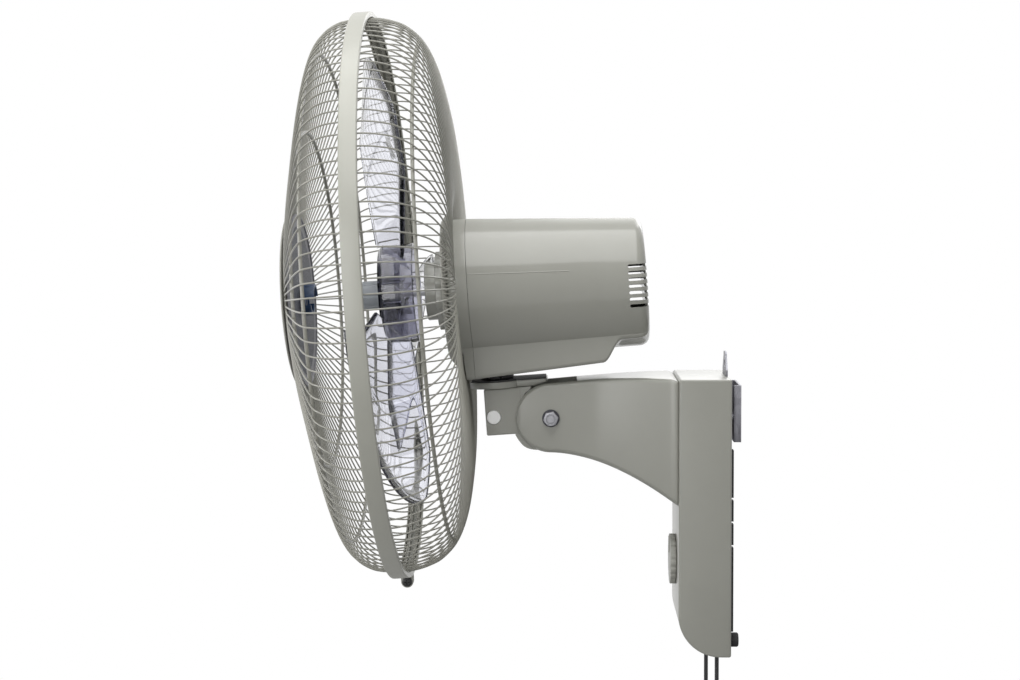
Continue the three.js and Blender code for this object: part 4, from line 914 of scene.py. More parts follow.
def pull_cord(kind, body, cord_box, pull_box, finishes):
    """Cord that hangs straight from its switch, with its guide and its knob."""
    low, high = cord_box
    x, y = (low.x + high.x) / 2, (low.y + high.y) / 2
    route = [(x, y, z) for z in np.linspace(high.z, low.z, 24)]
    tube = outward(wire(route, CORD, (1, 0, 0), 14))
    knob = piece(kind + "_bell", pull_knob(*pull_box), body, finishes.black,
                 stands_for=[kind + "_pull"])
    guide = piece(kind + "_grommet", cord_guide(x, y), "wall_unit", finishes.black,
                  stands_for=[kind + "_cord_guide"])
    line = piece(kind + "_line_cord", tube, body, finishes.cord, stands_for=[kind + "_cord"])


def pull_cords(finishes):
    pull_cord("power", "power_line", POWER_CORD, POWER_PULL, finishes)
    pull_cord("swing", "swing_line", SWING_CORD, SWING_PULL, finishes)


# ---------------------------------------------------------------- cage


def guard(route, hub, hub_wire, side):
    """Radial wires on the inside of a rim wire and on the outside of a ring round the middle."""
    line = [(0, along, radius) for radius, along in route]
    wires = wire(line, WIRE, (1, 0, 0), 7).spun(GUARD_WIRES)
    rim = wire_ring(RIM_RADIUS, side * RIM_OFFSET, RIM_WIRE, 192)
    middle = wire_ring(hub, route[-1][1], hub_wire, 120)
    return together([outward(wires), rim, middle])


def beside(route, radius, thick):
    """Place of a ring that rests against the inside of the wires at a radius."""
    for (r0, y0), (r1, y1) in zip(route, route[1:]):
        if r1 <= radius <= r0:
            along = Vector((r1 - r0, y1 - y0)).normalized()
            inward = Vector((along.y, -along.x))
            if inward.y * y1 > 0:
                inward.negate()
            middle = Vector((radius, lerp(y0, y1, (r0 - radius) / (r0 - r1))))
            return middle + inward * (WIRE + thick)
    raise ValueError("the ring is off the wires")


def rim_band():
    """Channel band with rolled lips, open below between the two lugs of its clamp."""
    half, rim, lip = BAND_HALF, BAND_RADIUS, BAND_RADIUS - BAND_LIP
    inner, inside = rim - BAND_SHEET, half - BAND_SHEET
    profile = soft([(lip, -half), (rim, -half), (rim, half), (lip, half), (lip, inside),
                    (inner, inside), (inner, -inside), (lip, -inside)], 1.4, 4, closed=True)
    crowned = [(r - BAND_CROWN * (y / half) ** 2 if r > inner + 0.5 else r, y) for r, y in profile]
    gap = math.degrees(BAND_SPLIT / BAND_RADIUS)
    channel = revolve(crowned + [crowned[0]], "Y", 256, gap)
    return together([channel, clamp_lug(-1), clamp_lug(1)])


def clamp_lug(side):
    """Tab with a round end that is bent down from the band."""
    start = side * BAND_SPLIT / 2
    end = start + side * LUG_SHEET
    top, low, half = -(BAND_RADIUS - BAND_SHEET), -(BAND_RADIUS + LUG), BAND_HALF - 2
    outline = [(-half, top), (half, top)] + arc((0, low + half), half, 0, -180, 12)
    return extrude(outline, min(start, end), max(start, end), "X").bevelled(0.4, 2)


def thread(radius, pitch, start, end, axis="X"):
    """Screw thread as close ridges."""
    count = int((end - start) / pitch)
    profile = [(0, start)]
    for k in range(count):
        ridge, root = start + k * pitch, start + (k + 0.5) * pitch
        profile += [(radius, ridge), (radius - THREAD_DEPTH, root)]
    return revolve(profile + [(radius, end), (0, end)], axis, 32)


def clamp_screw():
    """Cross-slotted screw through both lugs."""
    face, height = CLAMP_SEAT, CLAMP_SEAT + 4
    profile = [(0, face), (4.8, face), (4.8, face + 2.4), (3.2, height), (0, height)]
    head = revolve(soft(profile, 0.8, 4), "X", 40)
    slot = block(face + 2.2, height + 1, -0.6, 0.6, -2.6, 2.6)
    head = head.minus(slot, slot.turned(math.pi / 2, "X"))
    return (head + thread(2.4, 0.8, -face - 7, face + 0.2)).moved(0, 0, CLAMP_HEIGHT)


def hexagon(corner, start, end, bore=0.0, axis="X"):
    """Chamfered hexagon nut or bolt head."""
    shape = extrude(arc((0, 0), corner, 0, 300, 5), start, end, axis)
    low, high = min(start, end), max(start, end)
    face, edge, away, chamfer = corner * 0.88, corner * 1.1, corner * 1.4, corner * 0.13
    cone = [(face, low - 1e-3), (edge, low + chamfer), (edge, high - chamfer), (face, high + 1e-3),
            (away, high + 1), (away, low - 1), (face, low - 1e-3)]
    shape = shape.minus(revolve(cone, axis, 60))
    return shape.minus(rod(bore, low - 1, high + 1, axis, 32)) if bore else shape


def clamp_nut():
    return hexagon(5, -CLAMP_SEAT - 4.5, -CLAMP_SEAT, 2.5).moved(0, 0, CLAMP_HEIGHT)


def badge_front():
    """Blank disc with a rolled edge and a shallow step."""
    r, back = BADGE_RADIUS, BADGE_FACE + GAP
    profile = [(0, back), (r - 1, back), (r, back - 1.2), (r - 3, back - 2.4), (r - 8, back - 2.4),
               (r - 9, back - 1.7), (r * 0.5, back - 2.0), (0, back - 2.2)]
    return revolve(soft(profile, 0.8, 4), "Y", 128)


def badge_backing():
    rear = BACKING_FACE + BACKING_SHEET
    profile = [(0, BACKING_FACE), (BACKING_FLAT, BACKING_FACE), (BACKING_FLAT, rear),
               (BACKING_FLAT * 0.4, rear), (0, rear)]
    return revolve(profile, "Y", 96)


def badge_backing_rim():
    """Lighter outer ring of the backing disc, with its turned-in edge."""
    front, r, inner = BACKING_FACE, BADGE_RADIUS, BACKING_FLAT
    profile = [(inner, front), (r - 1.5, front), (r, front + 1), (r, front + 3.2),
               (r - 2, front + 3.2), (r - 2.4, front + 2), (inner, front + BACKING_SHEET)]
    return lathe(profile, 0.5, 3, "Y", 128)


def badge_clip():
    """Round snap clip with a slot for its catch."""
    r, base = CLIP_RADIUS, BACKING_FACE + BACKING_SHEET + GAP
    tip, inner, floor_top = base + CLIP_LENGTH, r - 3, base + 3
    cup = lathe([(5, base), (r, base), (r, tip), (inner, tip), (inner, floor_top), (5, floor_top)],
                0.6, 3, "Y", 64)
    notch = block(-20, 20, base + CLIP_LENGTH * 0.35, tip + 1, -4.5, 2.5)
    step = block(-20, 20, base + CLIP_LENGTH * 0.72, tip + 1, -20, 2.5)
    return cup.minus(notch, step)


def cage(finishes):
    front, rear = flow(FRONT_GUARD), flow(REAR_GUARD) + REAR_FOLD
    seat, bore = COVER_FRONT - GAP, NOSE_RADIUS + GAP
    face = seat - GUARD_PLATE
    profile = [(bore, face), (REAR_HUB, face), (REAR_HUB, seat), (bore, seat), (bore, face)]
    plate = revolve(profile, "Y", 96)
    front_guard = guard(front, FRONT_HUB, RING_WIRE, -1)
    rear_guard = guard(rear, REAR_HUB, RIM_WIRE, 1) + plate
    outer, inner = FRONT_RINGS
    piece("front_wires", front_guard, "head", finishes.wire, HEAD, ["front_guard"])
    piece("rear_wires", rear_guard, "head", finishes.wire, HEAD, ["rear_guard"])
    for name, radius, route in (("front_ring_outer", outer, front),
                                ("front_ring_inner", inner, front),
                                ("rear_ring", REAR_RING, rear)):
        r, along = beside(route, radius, RING_WIRE)
        ring = wire_ring(r, along, RING_WIRE)
        piece(name + "_wire", ring, "head", finishes.wire, HEAD, [name])
    piece("rim_channel", rim_band(), "head", finishes.band, HEAD, ["rim_band"])
    piece("clamp_bolt", clamp_screw(), "head", finishes.black, HEAD, ["clamp_screw"])
    piece("clamp_hexagon", clamp_nut(), "head", finishes.black, HEAD, ["clamp_nut"])
    piece("badge_disc", badge_front(), "head", finishes.cover, HEAD, ["badge_front"])
    piece("badge_backing", badge_backing(), "head", finishes.backing, HEAD, ["badge_back"])
    piece("badge_backing_rim", badge_backing_rim(), "head", finishes.rim, HEAD)
    piece("badge_snap", badge_clip(), "head", finishes.blue, HEAD, ["badge_clip"])


# ---------------------------------------------------------------- propeller


def blade_point(s, t, face):
    """Point of a blade: s from the hub to the tip, t across it, face -1 or 1 for its two sides."""
    rounding = 1 - abs(t) ** 3 * 0.09 * s * s
    radius = lerp(HUB_RADIUS - 2, BLADE_RADIUS, s) * lerp(1, rounding, s)
    widening = math.sin(math.pi * min(s * 1.1, 1) / 2)
    half_angle = math.radians(lerp(BLADE_ROOT_ANGLE, BLADE_WIDE_ANGLE, widening) - 3 * s)
    angle = t * half_angle - BLADE_SWEEP * s * s
    half_depth = lerp(BLADE_ROOT_DEPTH, BLADE_FULL_DEPTH, min(s * 1.6, 1)) - 6 * s * s
    hollow = BLADE_HOLLOW * (1 - t * t) * s
    edge = math.sqrt(max(1 - max(abs(t), 2 * s - 1) ** 14, 0.02))
    depth = BLADE_MIDDLE + t * half_depth - hollow + face * edge * BLADE_SHEET / 2
    return radius * math.sin(angle), depth, radius * math.cos(angle)


def blade(rows=34, columns=30):
    """Wide curved blade that thins towards its rounded edges."""
    evenly = [2 * j / columns - 1 for j in range(columns + 1)]
    across = [math.sin(math.pi / 2 * t) * 0.4 + t * 0.6 for t in evenly]
    sections = []
    for i in range(rows + 1):
        s = 1 - (1 - i / rows) ** 1.25
        front = [blade_point(s, t, -1) for t in across]
        rear = [blade_point(s, t, 1) for t in reversed(across)]
        sections.append(front + rear)
    return skin(sections)


def blade_bead():
    """Thicker edge that runs round the free outline of a blade."""
    rise = [blade_point(s, -1, 0) for s in np.linspace(0.02, 0.97, 30)]
    tip = [blade_point(0.995, t, 0) for t in np.linspace(-0.94, 0.94, 24)]
    fall = [blade_point(s, 1, 0) for s in np.linspace(0.97, 0.02, 30)]
    return outward(wire(rise + tip + fall, BLADE_BEAD, (0, 1, 0), 7))


def hub_cup():
    """Cup of the hub with a rolled front edge and inner ribs."""
    bore, r, front, rear = SPINNER_RADIUS + GAP, HUB_RADIUS, HUB_FRONT, HUB_REAR
    profile = [(bore, front), (r - 4, front), (r, front + 4), (r, rear), (r - 3, rear),
               (r - 3, front + 5), (r - 6, front + 3), (bore, front + 3)]
    rib = block(-0.9, 0.9, front + 2.9, front + 18, bore + 1, r - 2.8)
    return together([lathe(profile, 1.6, 4, "Y", 120), rib.spun(9)])


def spinner():
    """Nut with finger grips that clamps the propeller."""
    r, front, rear, bore = SPINNER_RADIUS, SPINNER_FRONT, SPINNER_REAR, 4.4
    profile = soft([(bore, rear), (r, rear), (r, front + 9), (r * 0.88, front + 3),
                    (r * 0.5, front), (0, front), (0, front + 6), (bore, front + 6)], 2, 5)
    body = revolve(profile + [profile[0]], "Y", 72)
    grip = revolve([(0, -40), (1.6, -40), (1.6, -6), (0, -4)], "Y", 16).moved(0, 0, r + 0.7)
    return body.minus(*[grip.turned(2 * math.pi * k / 8, "Y") for k in range(8)])


def propeller(finishes):
    blades = blade().spun(BLADES, "Y", BLADE_START)
    piece("blades", blades, "rotor", finishes.blade, HEAD, ["fan_blade"], sharp=60)
    # the beads' darker tint is painted shade along the blades' edges
    piece("blade_beads", blade_bead().spun(BLADES, "Y", BLADE_START), "rotor", finishes.edge, HEAD)
    piece("hub_cup", hub_cup(), "rotor", finishes.hub, HEAD)
    # the spinner's finish is lightened as painted light against the shade inside the hub
    piece("spinner_nut", spinner(), "rotor", finishes.dark, HEAD, ["spinner"])


# ---------------------------------------------------------------- motor covers


def cover_section(u, inset=0.0):
    """Outline of the covers at a distance along the axis: a drafted circle with a square belly."""
    along = clamp((u - COVER_SPLIT) / (COVER_REAR - COVER_SPLIT))
    radius = lerp(COVER_RADIUS, COVER_REAR_RADIUS, along) - inset
    centre = -COVER_DROP * along
    half = BELLY_HALF - inset
    ramp = clamp((u - BELLY_END) / BELLY_RAMP)
    shut = max(ramp * ramp * (3 - 2 * ramp), clamp((BELLY_FRONT + inset - u) / BELLY_STEP))
    depth = lerp(BELLY_DEPTH, BELLY_DEPTH - BELLY_RISE, along)
    bottom = -lerp(depth, radius * BELLY_SHUT, shut) + inset * (1 - shut)
    start = math.asin(clamp(half / radius, -1, 1))
    angles = np.linspace(math.pi - start, start - math.pi, 81)
    points = [(radius * math.sin(a), u, centre + radius * math.cos(a)) for a in angles]
    corner = [half - BELLY_EDGE * (1 - math.sin(a)) for a in np.radians(np.linspace(89.5, 0, 8))]
    floor_stations = [half * share for share in (-0.6, -0.3, 0, 0.3, 0.6)]
    for x in [-x for x in corner] + floor_stations + corner[::-1]:
        circle = centre - math.sqrt(radius * radius - x * x)
        over = max(abs(x) - (half - BELLY_EDGE), 0)
        flat = bottom + BELLY_EDGE - math.sqrt(BELLY_EDGE**2 - over**2)
        points.append((x, u, min(circle, flat) - (0.05 if abs(x) > half - 0.2 else 0)))
    return points


def cover_skin(start, end, inset=0.0, round_front=0.0, round_rear=0.0, steps=7):
    """Solid body of a cover, with its front or rear edge rounded."""
    angles = np.radians(np.linspace(0, 90, steps + 1))
    stations = []
    if round_front:
        stations += [(start + round_front * (1 - math.cos(a)),
                      inset + round_front * (1 - math.sin(a))) for a in angles[:-1]]
    plain_start, plain_end = start + round_front, end - round_rear
    front = BELLY_FRONT + inset
    ramp = [BELLY_END + BELLY_RAMP * t for t in np.linspace(0, 1, 11)]
    breaks = {plain_start, front - BELLY_STEP, front, BELLY_END - 1, *ramp, plain_end}
    stations += [(u, inset) for u in sorted(breaks) if plain_start <= u <= plain_end]
    if round_rear:
        stations += [(end - round_rear * (1 - math.sin(a)),
                      inset + round_rear * (1 - math.cos(a))) for a in angles[1:]]
    return skin([cover_section(u, drawn) for u, drawn in stations])


def vent_slots():
    """Slots with round ends that run round the rear edge on both sides."""
    slots = []
    for k in range(VENT_COUNT):
        top = VENT_TOP - k * VENT_PITCH
        low, high = (COVER_REAR - VENT_LENGTH, top - VENT_HEIGHT), (COVER_REAR + 10, top)
        outline = rounded_box(low, high, VENT_HEIGHT / 2 - 0.01, 6)
        for side in (-1, 1):
            inner, outer = side * VENT_MIDDLE / 2, side * (COVER_RADIUS + 5)
            slots.append(extrude(outline, min(inner, outer), max(inner, outer), "X"))
    return together(slots)


def rear_cover():
    inside_rear, inside_edge = COVER_REAR - COVER_WALL, COVER_EDGE - COVER_WALL
    shell = cover_skin(COVER_SPLIT + GAP, COVER_REAR, 0, 0, COVER_EDGE)
    hollow = cover_skin(COVER_SPLIT - 1, inside_rear, COVER_WALL, 0, inside_edge)
    spindle = rod(SPINDLE_RADIUS + 1, -BELLY_DEPTH - 2, -BELLY_DEPTH + 8, "Z")
    shell = shell.minus(hollow, vent_slots(), spindle.moved(0, SWIVEL_ALONG))
    return together([shell, parting_ridge(-1), parting_ridge(1)])


def parting_ridge(side):
    """Fine raised line that the mould leaves along the side of the cover."""
    points = []
    sine, cosine = math.sin(RIDGE_ANGLE), math.cos(RIDGE_ANGLE)
    for u in (COVER_SPLIT + 1, COVER_SPLIT + 60, RIDGE_END):
        along = (u - COVER_SPLIT) / (COVER_REAR - COVER_SPLIT)
        radius = lerp(COVER_RADIUS, COVER_REAR_RADIUS, along) - RIDGE_SUNK
        points.append((side * radius * sine, u, radius * cosine - COVER_DROP * along))
    return outward(wire(points, RIDGE_WIRE, (cosine, 0, -side * sine), 8))


def front_cover():
    shell = cover_skin(COVER_FRONT, COVER_SPLIT, 0, 5, 0)
    hollow = cover_skin(COVER_FRONT + COVER_WALL, COVER_SPLIT + 1, COVER_WALL, 2.4, 0)
    end, root, r = COVER_FRONT - NOSE_LENGTH, COVER_FRONT + 1, NOSE_RADIUS
    nose = [(5, end), (r, end), (r, root), (r - 6, root), (r - 6, end + 3), (5, end + 3)]
    return shell.minus(hollow) + lathe(nose, 1.5, 4, "Y", 72)


def guard_nut():
    """Lobed ring nut round the nose of the motor."""
    lobes, steps = 10, 120
    outline = []
    for k in range(steps):
        angle = 2 * math.pi * k / steps
        radius = NOSE_RADIUS + 8.75 + 1.25 * math.tanh(2.5 * math.cos(lobes * angle))
        outline.append((radius * math.cos(angle), radius * math.sin(angle)))
    seat = COVER_FRONT - GUARD_PLATE - 2 * GAP
    ring = extrude(outline, seat - 10, seat, "Y").bevelled(0.8, 2)
    return ring.minus(rod(NOSE_RADIUS + GAP, seat - 12, seat + 2, "Y", 72))


def motor(finishes):
    piece("rear_shell", rear_cover(), "head", finishes.cover, HEAD, ["rear_cover"], sharp=24)
    piece("front_shell", front_cover(), "head", finishes.cover, HEAD, ["front_cover"], sharp=24)
    piece("guard_ring_nut", guard_nut(), "head", finishes.cover, HEAD, ["guard_nut"])


# ---------------------------------------------------------------- neck


def swivel_hole(radius, low, high):
    """Tool that clears the swivel spindle."""
    return rod(radius, low, high, "Z").moved(0, -SWIVEL_AHEAD)


def tilt_knuckle():
    """Block under the swivel plate with a round tongue between the cheeks of the arm."""
    top, behind, reach = PLATE_BOTTOM - GAP, -NECK_BACK - 3, NECK_HALF + 1
    web = [(behind, top), (-17, top)] + arc((0, 0), ARM_NOSE + 0.7, 120, 144, 8) + [(behind, 19)]
    web = extrude(web, 0.3 - NECK_HALF, NECK_HALF - 0.3, "X")
    front = rounded_box((-NECK_FRONT, NECK_BOTTOM), (-NECK_BACK, top), 1.6)
    body = extrude(front, -NECK_HALF, NECK_HALF, "X").bevelled(1.4, 3, 50)
    outline = [(behind - 1, TONGUE), (0, TONGUE)] + arc((0, 0), TONGUE, 90, -90, 24)[1:]
    for degrees in range(262, 200, -5):
        radius = lerp(TONGUE, TONGUE_LOBE, math.sqrt(clamp((262 - degrees) / 38)))
        outline += arc((0, 0), radius, degrees, degrees, 0)
    outline.append((behind - 1, NECK_BOTTOM + 3))
    tongue = extrude(outline, 0.5 - NECK_HALF, NECK_HALF - 0.5, "X")
    bolt = rod(TILT_BOLT + GAP, -reach, reach, "X")
    tongue = tongue.minus(bolt, swivel_hole(SPINDLE_RADIUS + 1, 0, 80))
    pin = rod(PIN_RADIUS + GAP, -reach, reach, "X").moved(0, *PIN_PLACE)
    return together([body.minus(pin, swivel_hole(SPINDLE_RADIUS + GAP, 13, top + 1)), web, tongue])


def stop_pin():
    """White pin across the knuckle with domed ends."""
    end = NECK_HALF + 1.2
    profile = soft([(0, -end), (PIN_RADIUS, -end), (PIN_RADIUS, end), (0, end)], 0.8, 4)
    return revolve(profile, "X", 48).moved(0, *PIN_PLACE)


def plate_outline(radius, width, tail):
    """Outline of a disc round the swivel with a straight tail over the arm."""
    half = width / 2
    start = math.degrees(math.asin(half / radius))
    return arc((0, -SWIVEL_AHEAD), radius, 90 + start, 450 - start, 60) + round_end(half, tail)


def swivel_plate():
    plate = extrude(plate_outline(PLATE_RADIUS, 38, -1), PLATE_BOTTOM, PLATE_TOP, "Z")
    nose = rod(ARM_NOSE + 0.8, -40, 40, "X", 96)
    return plate.minus(nose, swivel_hole(SPINDLE_RADIUS + GAP, 20, 60)).bevelled(0.6, 2, 50)


def friction_disc():
    bottom = PLATE_TOP + GAP
    disc = extrude(plate_outline(PLATE_RADIUS - 2, 34, -2), bottom, bottom + 1.2, "Z")
    return disc.minus(swivel_hole(SPINDLE_RADIUS + GAP, 20, 60))


def swivel_collar():
    bottom, top, bore = PLATE_TOP + 1.9, AXIS_HEIGHT - BELLY_DEPTH - GAP, SPINDLE_RADIUS + GAP
    profile = [(bore, bottom), (COLLAR_RADIUS, bottom), (COLLAR_RADIUS, top), (bore, top)]
    notches = [block(-20, 20, y - 0.9, y + 0.9, bottom + 0.8, top + 1) for y in (-8, 4)]
    return lathe(profile, 0.3, 2, "Z", 64).minus(*notches).moved(0, -SWIVEL_AHEAD)


def neck(finishes):
    piece("knuckle", tilt_knuckle(), "neck", finishes.arm, NECK, ["tilt_knuckle"])
    piece("stop_pin_domed", stop_pin(), "neck", finishes.white, NECK, ["stop_pin"])
    piece("swivel_flange", swivel_plate(), "neck", finishes.arm, NECK, ["swivel_plate"])
    piece("friction_washer", friction_disc(), "neck", finishes.black, NECK, ["friction_disc"])
    piece("swivel_boss", swivel_collar(), "head", finishes.black, NECK, ["swivel_collar"])


def tilt_fasteners(finishes):
    place = Matrix.Translation(PIVOT)
    washer_start = ARM_HALF + GAP
    seat = ARM_HALF + TILT_WASHER + 2 * GAP
    floor_depth, top = seat + 3.6, seat + 8
    groove = [(3.5, floor_depth), (4.7, floor_depth), (4.7, top), (3.5, top), (3.5, floor_depth)]
    head = hexagon(7.3, seat, seat + 5.3).minus(revolve(groove, "X", 40))
    head = head.turned(math.radians(10), "X")
    shank = thread(TILT_BOLT, 1.25, -seat - 10, -seat + 8) + rod(3.9, -seat + 8, seat + 1, "X")
    nut = hexagon(7.5, -seat - 6.5, -seat, TILT_BOLT + 0.1)
    piece("tilt_screw", head + shank, "wall_unit", finishes.dull_steel, place, ["tilt_bolt"])
    piece("tilt_hexagon_nut", nut, "wall_unit", finishes.steel, place, ["tilt_nut"])
    bore, edge, washer_end = TILT_BOLT + GAP, 8.4, washer_start + TILT_WASHER
    profile = [(bore, washer_start), (edge, washer_start), (edge, washer_end), (bore, washer_end)]
    washer = lathe(profile, 0.3, 3, "X", 48)
    for side, ring in (("near", washer), ("far", washer.mirrored())):
        name = "tilt_washer_" + side
        piece(name + "_plate", ring, "wall_unit", finishes.black_steel, place, [name])


# ---------------------------------------------------------------- arm and wall box


def arm_section(y, inset=0.0):
    """Rounded rectangle across the arm at a distance from the wall."""
    ahead = max(PIVOT.y - y, 0)
    nose = math.sqrt(max(ARM_NOSE**2 - ahead**2, 0))
    tip = min(ARM_NOSE - ahead, ARM_EDGE) if ahead > 0 else ARM_EDGE
    tip_inset = ARM_EDGE - math.sqrt(ARM_EDGE**2 - (ARM_EDGE - tip) ** 2)
    end = clamp((y - (BOX_FRONT - ARM_END)) / ARM_END)
    end_inset = ARM_END_INSET * (1 - math.sqrt(1 - end * end * 0.99))
    flare = clamp((y - BOX_FRONT + ARM_FLARE) / ARM_FLARE) ** 1.5
    half = lerp(ARM_HALF, BOX_WIDTH / 2 - 1, flare) - inset - tip_inset * 0.6 - end_inset
    rise = clamp((y - PIVOT.y) / (BOX_FRONT - CREST_END - PIVOT.y))
    crest = lerp(PIVOT.z + ARM_NOSE, BOX_TOP, math.sin(rise * math.pi / 2))
    sole = PIVOT.z - ARM_NOSE - ARM_DROP * clamp((y - PIVOT.y) / ARM_REACH) ** 1.75
    top = (PIVOT.z + nose if ahead > 0 else crest) - inset - end_inset
    bottom = (PIVOT.z - nose if ahead > 0 else sole) + inset
    radius = min(max(ARM_EDGE - inset, 1.2), (top - bottom) / 2 - 0.05)
    return [(x, y, z) for x, z in rounded_box((-half, bottom), (half, top), radius, 6)]


def arm_skin(start, end, inset, steps):
    """Solid body of the arm between two distances from the wall."""
    bend = BOX_FRONT - ARM_END
    stations = []
    if start < PIVOT.y:
        stations += [PIVOT.y - ARM_NOSE * math.cos(a) for a in np.radians(np.linspace(6, 88, 20))]
    stations += list(np.linspace(max(start, PIVOT.y), min(end, bend), steps))
    if end > bend:
        stations += [bend + ARM_END * math.sin(a) for a in np.radians(np.linspace(12, 90, 8))]
    if end > BOX_FRONT:
        stations.append(end)
    return skin([arm_section(y, inset) for y in stations])


def support_arm():
    slot_end, half = PIVOT.y + TONGUE + 1, NECK_HALF + 1
    shell = arm_skin(PIVOT.y - ARM_NOSE, BOX_FRONT - GAP, 0, 26)
    hollow = arm_skin(slot_end - 1, BOX_FRONT + 2, ARM_WALL, 18)
    slot = block(-half, half, PIVOT.y - 60, slot_end, PIVOT.z - 60, PIVOT.z + 60)
    bolt = rod(TILT_BOLT + GAP, -60, 60, "X").moved(0, PIVOT.y, PIVOT.z)
    return shell.minus(hollow, slot, bolt)


def box_outline(inset=0.0):
    front, bottom, top = BOX_FRONT + inset, BOX_BOTTOM + inset, BOX_TOP - inset
    toe, edge = BOX_TOE - inset, BOX_EDGE
    outline = [(BOX_REAR, bottom), (BOX_REAR, top)]
    outline += arc((front + edge, top - edge), edge, 90, 180, 6)
    return outline + arc((front + toe, bottom + toe), toe, 180, 270, 24)


def wall_box():
    half, inner, tab_half = BOX_WIDTH / 2, BOX_WIDTH / 2 - BOX_WALL, TAB_WIDTH / 2
    notch_half, notch_front = tab_half + GAP, PLATE_REAR - PLATE_SHEET - GAP
    shell = extrude(box_outline(), -half, half, "X").bevelled(2, 4, 50)
    pad = block(-tab_half, tab_half, BOX_REAR - TAB_PAD, BOX_REAR - 0.3, BOX_TOP - 1, BOX_TOP + 1.2)
    hollow = extrude(box_outline(BOX_WALL), -inner, inner, "X").moved(0, 2.2)
    floor_top, ceiling = BOX_BOTTOM + BOX_WALL, BOX_TOP - BOX_WALL
    mouth = block(-inner, inner, BOX_REAR - 4, BOX_REAR + 3, floor_top, ceiling)
    notch = block(-notch_half, notch_half, notch_front, BOX_REAR + 3, BOX_TOP - 10, BOX_TOP + 5)
    knob_hole = rod(4.2, BOX_FRONT - 3, BOX_FRONT + 8).moved(0, 0, KNOB_HEIGHT)
    cord_hole = rod(3.6 + GAP, BOX_BOTTOM - 6, BOX_BOTTOM + 12, "Z")
    cords = [cord_hole.moved((low.x + high.x) / 2, (low.y + high.y) / 2)
             for low, high in (POWER_CORD, SWING_CORD)]
    return (shell + pad.bevelled(0.6, 2)).minus(hollow, mouth, notch, knob_hole, *cords)


def hanger_tab():
    """Keyhole tab that rises behind the top of the box, in one sheet with the back of the box."""
    half, top, shoulder = TAB_WIDTH / 2, BOX_TOP + TAB_RISE, BOX_TOP + 6
    edge = BOX_WALL + GAP
    inner, low, high = BOX_WIDTH / 2 - edge, BOX_BOTTOM + edge, BOX_TOP - edge
    outline = [(low, -inner), (low, inner), (high, inner), (high, half), (shoulder, half)]
    outline += [(z, x) for x, z in round_end(TAB_TIP / 2, top)]
    outline += [(shoulder, -half), (high, -half), (high, -inner)]
    sheet = extrude(outline, PLATE_REAR - PLATE_SHEET, PLATE_REAR, "Y")
    keyhole = arc((0, top - 12), 4, -60, 240, 24) + [(-2, top - 18), (2, top - 18)]
    hole = extrude([(z, x) for x, z in keyhole], PLATE_REAR - 5, PLATE_REAR + 3, "Y")
    hook_rear, hook = -BRACKET_SHEET - GAP, BRACKET_WIDTH / 2 - BRACKET_SHEET - 3
    riser = block(-hook, hook, PLATE_REAR - 0.5, hook_rear, -6, -3)
    lip = block(-hook, hook, hook_rear - BRACKET_SHEET, hook_rear, -20, -4)
    return together([sheet.minus(hole), riser.bevelled(0.4, 2), lip.bevelled(0.4, 2)])


def cushion_strip():
    """Ribbed rubber strip between the box and the wall."""
    rear, inner = PLATE_REAR + GAP, BOX_WIDTH / 2 - BOX_WALL - 1.5
    bottom, height = BOX_BOTTOM + 24, 173
    strip = block(inner - 9, inner, rear, rear + 3.2, bottom, bottom + height).bevelled(0.5, 2)
    cross = [block(inner - 11, inner + 2, rear + 1.2, rear + 6, z - 1.4, z + 1.4)
             for z in (bottom + height * share for share in (0.47, 0.6, 0.73))]
    return strip.minus(*cross)


def rubber_foot(x):
    rear = PLATE_REAR + GAP
    profile = [(0, rear), (6.8, rear), (6.8, rear + 7.6), (5.8, rear + 8.8), (0, rear + 8.8)]
    return revolve(soft(profile, 0.8, 4), "Y", 40).moved(x, 0, BOX_BOTTOM + FOOT_INSET)


def wall_bracket():
    """Folded channel on the wall, with a front lip that the hook of the box hangs behind."""
    half, tall, sheet, depth = BRACKET_WIDTH / 2, BRACKET_HEIGHT / 2, BRACKET_SHEET, BRACKET_DEPTH
    back = block(-half, half, -sheet, 0, -tall, tall)
    cheek = block(half - sheet, half, -depth, -sheet, -tall, tall)
    lip = block(sheet - half, half - sheet, -depth, -depth + sheet, -tall, -8)
    holes = [rod(2.6, -sheet - 1, 1).moved(side * 16, 0, 14) for side in (-1, 1)]
    folds = [part.bevelled(0.4, 2) for part in (cheek.mirrored(), cheek, lip)]
    return together([back.minus(*holes).bevelled(0.4, 2, 60), *folds])


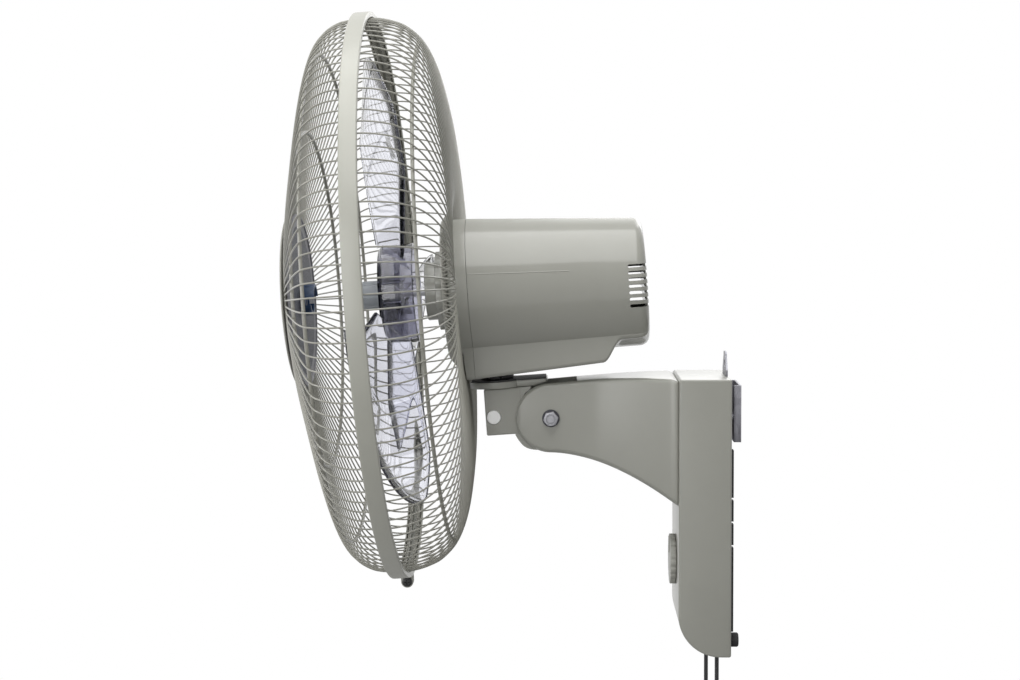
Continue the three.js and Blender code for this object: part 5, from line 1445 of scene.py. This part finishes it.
def speed_knob():
    """Flat knob with a fluted grip and a raised pointer."""
    back, steps, flutes, flute = BOX_FRONT - GAP, 160, 20, 0.45
    outline = []
    for k in range(steps):
        angle = 2 * math.pi * k / steps
        radius = KNOB_RADIUS - flute + flute * math.tanh(3 * math.cos(flutes * angle) + 1)
        outline.append((radius * math.cos(angle), radius * math.sin(angle)))
    body = extrude(outline, KNOB_FACE + 1, back, "Y").bevelled(0.7, 3, 60)
    pointer = block(-1.6, 1.6, KNOB_FACE, KNOB_FACE + 1.6, 6, KNOB_RADIUS - 2).bevelled(0.5, 3)
    return (body + pointer).moved(0, 0, KNOB_HEIGHT)


def wall_unit(finishes):
    plastic, soft_black, zinc = finishes.arm, finishes.rubber, finishes.zinc
    piece("arm", support_arm(), "wall_unit", plastic, stands_for=["support_arm"], sharp=28)
    piece("box", wall_box(), "wall_unit", plastic, stands_for=["wall_box"], sharp=28)
    piece("back_sheet", hanger_tab(), "wall_unit", zinc, stands_for=["back_plate"])
    strip = cushion_strip()
    for side, cushion in (("right", strip), ("left", strip.mirrored())):
        name = "cushion_strip_" + side
        piece(name, cushion, "wall_unit", soft_black, stands_for=["cushion_" + side])
    for name, side in (("left", -1), ("right", 1)):
        foot = rubber_foot(side * (BOX_WIDTH / 2 - FOOT_INSET))
        piece("foot_" + name, foot, "wall_unit", soft_black, stands_for=["rubber_foot_" + name])
    piece("bracket", wall_bracket(), "wall_unit", zinc, stands_for=["wall_bracket"])
    piece("knob", speed_knob(), "knob", finishes.knob, stands_for=["speed_knob"])
    tilt_fasteners(finishes)


def inner_parts(finishes):
    """Solids of the frame that show as they are, each with its own finish."""
    finish_of = {
        "motor_stator": finishes.copper,
        "motor_rotor": finishes.steel,
        "front_shield": finishes.dull_steel,
        "rear_shield": finishes.dull_steel,
        "front_bearing": finishes.steel,
        "rear_bearing": finishes.steel,
        "swing_gearbox": finishes.black,
        "swing_crank": finishes.steel,
        "swing_link": finishes.zinc,
        "swivel_spindle": finishes.steel,
        "knob_spindle": finishes.steel,
        "rotary_switch": finishes.black,
        "power_switch": finishes.black,
        "swing_switch": finishes.black,
        "run_capacitor": finishes.dark,
        "terminal_block": finishes.white,
        "plate_screw_upper": finishes.steel,
        "plate_screw_lower": finishes.steel,
    }
    for name, finish in finish_of.items():
        node = frame["nodes"][name]
        node.data.materials.clear()
        node.data.materials.append(finish.material)


# ---------------------------------------------------------------- the whole scene

camera()
finishes = Finishes()
pull_cords(finishes)
lighting()
cage(finishes)
propeller(finishes)
motor(finishes)
neck(finishes)
wall_unit(finishes)
inner_parts(finishes)

bpy.context.view_layer.update()
